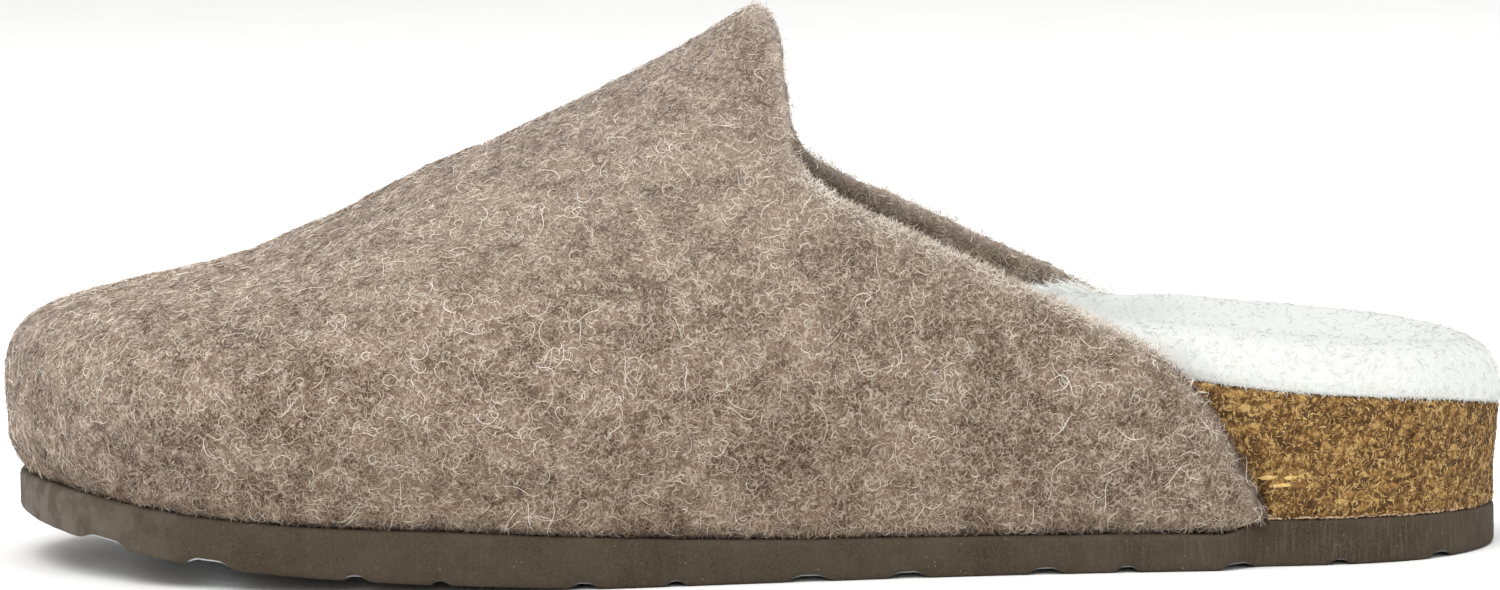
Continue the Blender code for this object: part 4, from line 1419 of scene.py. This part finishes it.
rise = ((-0.03, 0.04), (0.0, 0.1), (-0.03, 0.04))
for name, material, count, seed, sizes in (
    (
        "straw_slivers", straw_material("straw slivers", (146, 106, 56), (208, 176, 118)), 10500, 61,
        ((0.4, 1.8), (0.08, 0.3), (0.1, 1.8)),
    ),
    (
        "dark_slivers", straw_material("dark slivers", (70, 44, 18), (104, 70, 34)), 3500, 63,
        ((0.4, 1.5), (0.1, 0.35), (0.1, 1.6)),
    ),
):
    grow(name, material, footbed, count, seed, cork_share, sizes, rise, 3, rooted=False)


# %% Three long chips near the end of the felt. place along the clog, height above the sole, length
LONG_CHIPS = ((218.6, 7.9, 3.8), (222.8, 7.8, 2.6), (220.9, 6.1, 4.6))
ALONG_CHIP = np.array([[1.0, 0.0, 0.06]])
pale_straw = straw_material("pale straw", (204, 168, 98), (230, 198, 132))
cork_points, cork_normals = points_of(footbed), normals_of(footbed)
rise = ((0.0, 0.02), (0.14, 0.16), (0.0, 0.02))
for number, (along, above, length) in enumerate(LONG_CHIPS):
    spot = np.array([along - ORIGIN[0], sole_top(along) + above])
    away = np.linalg.norm(cork_points[:, (0, 2)] - spot, axis=1) + np.where(cork_normals[:, 1] < -0.8, 0, 100)
    place = (cork_points[[np.argmin(away)]], cork_normals[[np.argmin(away)]])
    rng, sizes = np.random.default_rng(70 + number), ((length, length + 0.1), (0.7, 0.8), (0.2, 0.3))
    name = f"long_chip_{number}"
    fibres(name, pale_straw, place, rng, sizes, rise, rooted=False, direction=ALONG_CHIP, roll=0.1)


# %% Pale crumbs along the joint with the sole
def joint_share(middles, facing):
    lift = above_sole(middles)
    return cork_share(middles, facing) * ((lift > 0.0) & (lift < 0.7))


def along_joint(places, rng):
    facing = places[1]
    return np.column_stack([facing[:, 1], -facing[:, 0], rng.normal(0, 0.2, len(facing))])


seam_dust = straw_material("seam dust", (176, 146, 116), (206, 180, 152))
sizes = ((0.4, 1.0), (0.15, 0.35), (0.1, 0.8))
rise = ((0.0, 0.1), (0.1, 0.25), (0.0, 0.1))
grow("joint_crumbs", seam_dust, footbed, 700, 62, joint_share, sizes, rise, 3, along_joint, rooted=False)

# %% [markdown]
# ## Floor and light
#
# The picture shows the clog alone on white. A wide pale floor under an even white sky comes close to that and
# still grounds the clog with a soft shadow. Two large softboxes, one from the upper front and one from above,
# give the felt its shape.

# %% Floor
FLOOR_REACH = 12.0


def floor_material():
    material, tree = new_material("pale floor", 0.9, shine=0.1)
    return finished(material, blend(tree, patches(tree, 60.0, 1.0), (246, 246, 245), (248, 248, 247)))


floor_mesh = bpy.data.meshes.new("floor")
corners = [(sx * FLOOR_REACH, sy * FLOOR_REACH, 0.0) for sx, sy in ((-1, -1), (1, -1), (1, 1), (-1, 1))]
floor_mesh.from_pydata(corners, [], [(0, 1, 2, 3)])
floor_mesh.materials.append(floor_material())
floor = in_scene("floor", floor_mesh)

# %% Sky and softboxes
SKY = 0.82
LIT_POINT = Vector((0, 0, 0.05))
world = bpy.data.worlds.new("studio")
bpy.context.scene.world = world
world.use_nodes = True
sky = world.node_tree.nodes["Background"]
sky.inputs["Color"].default_value = (1.0, 1.0, 1.0, 1.0)
sky.inputs["Strength"].default_value = SKY


def softbox(name, place, size, power):
    data = bpy.data.lights.new(name, "AREA")
    data.shape = "SQUARE"
    data.size = size
    data.energy = power
    light = in_scene(name, data)
    light.location = place
    light.rotation_mode = "QUATERNION"
    light.rotation_quaternion = (LIT_POINT - Vector(place)).to_track_quat("-Z", "Y")


softbox("key", (-0.7, -1.25, 1.9), 1.2, 23)
softbox("top", (0.1, -0.1, 2.0), 1.6, 23)
bpy.context.scene.view_settings.view_transform = "Standard"
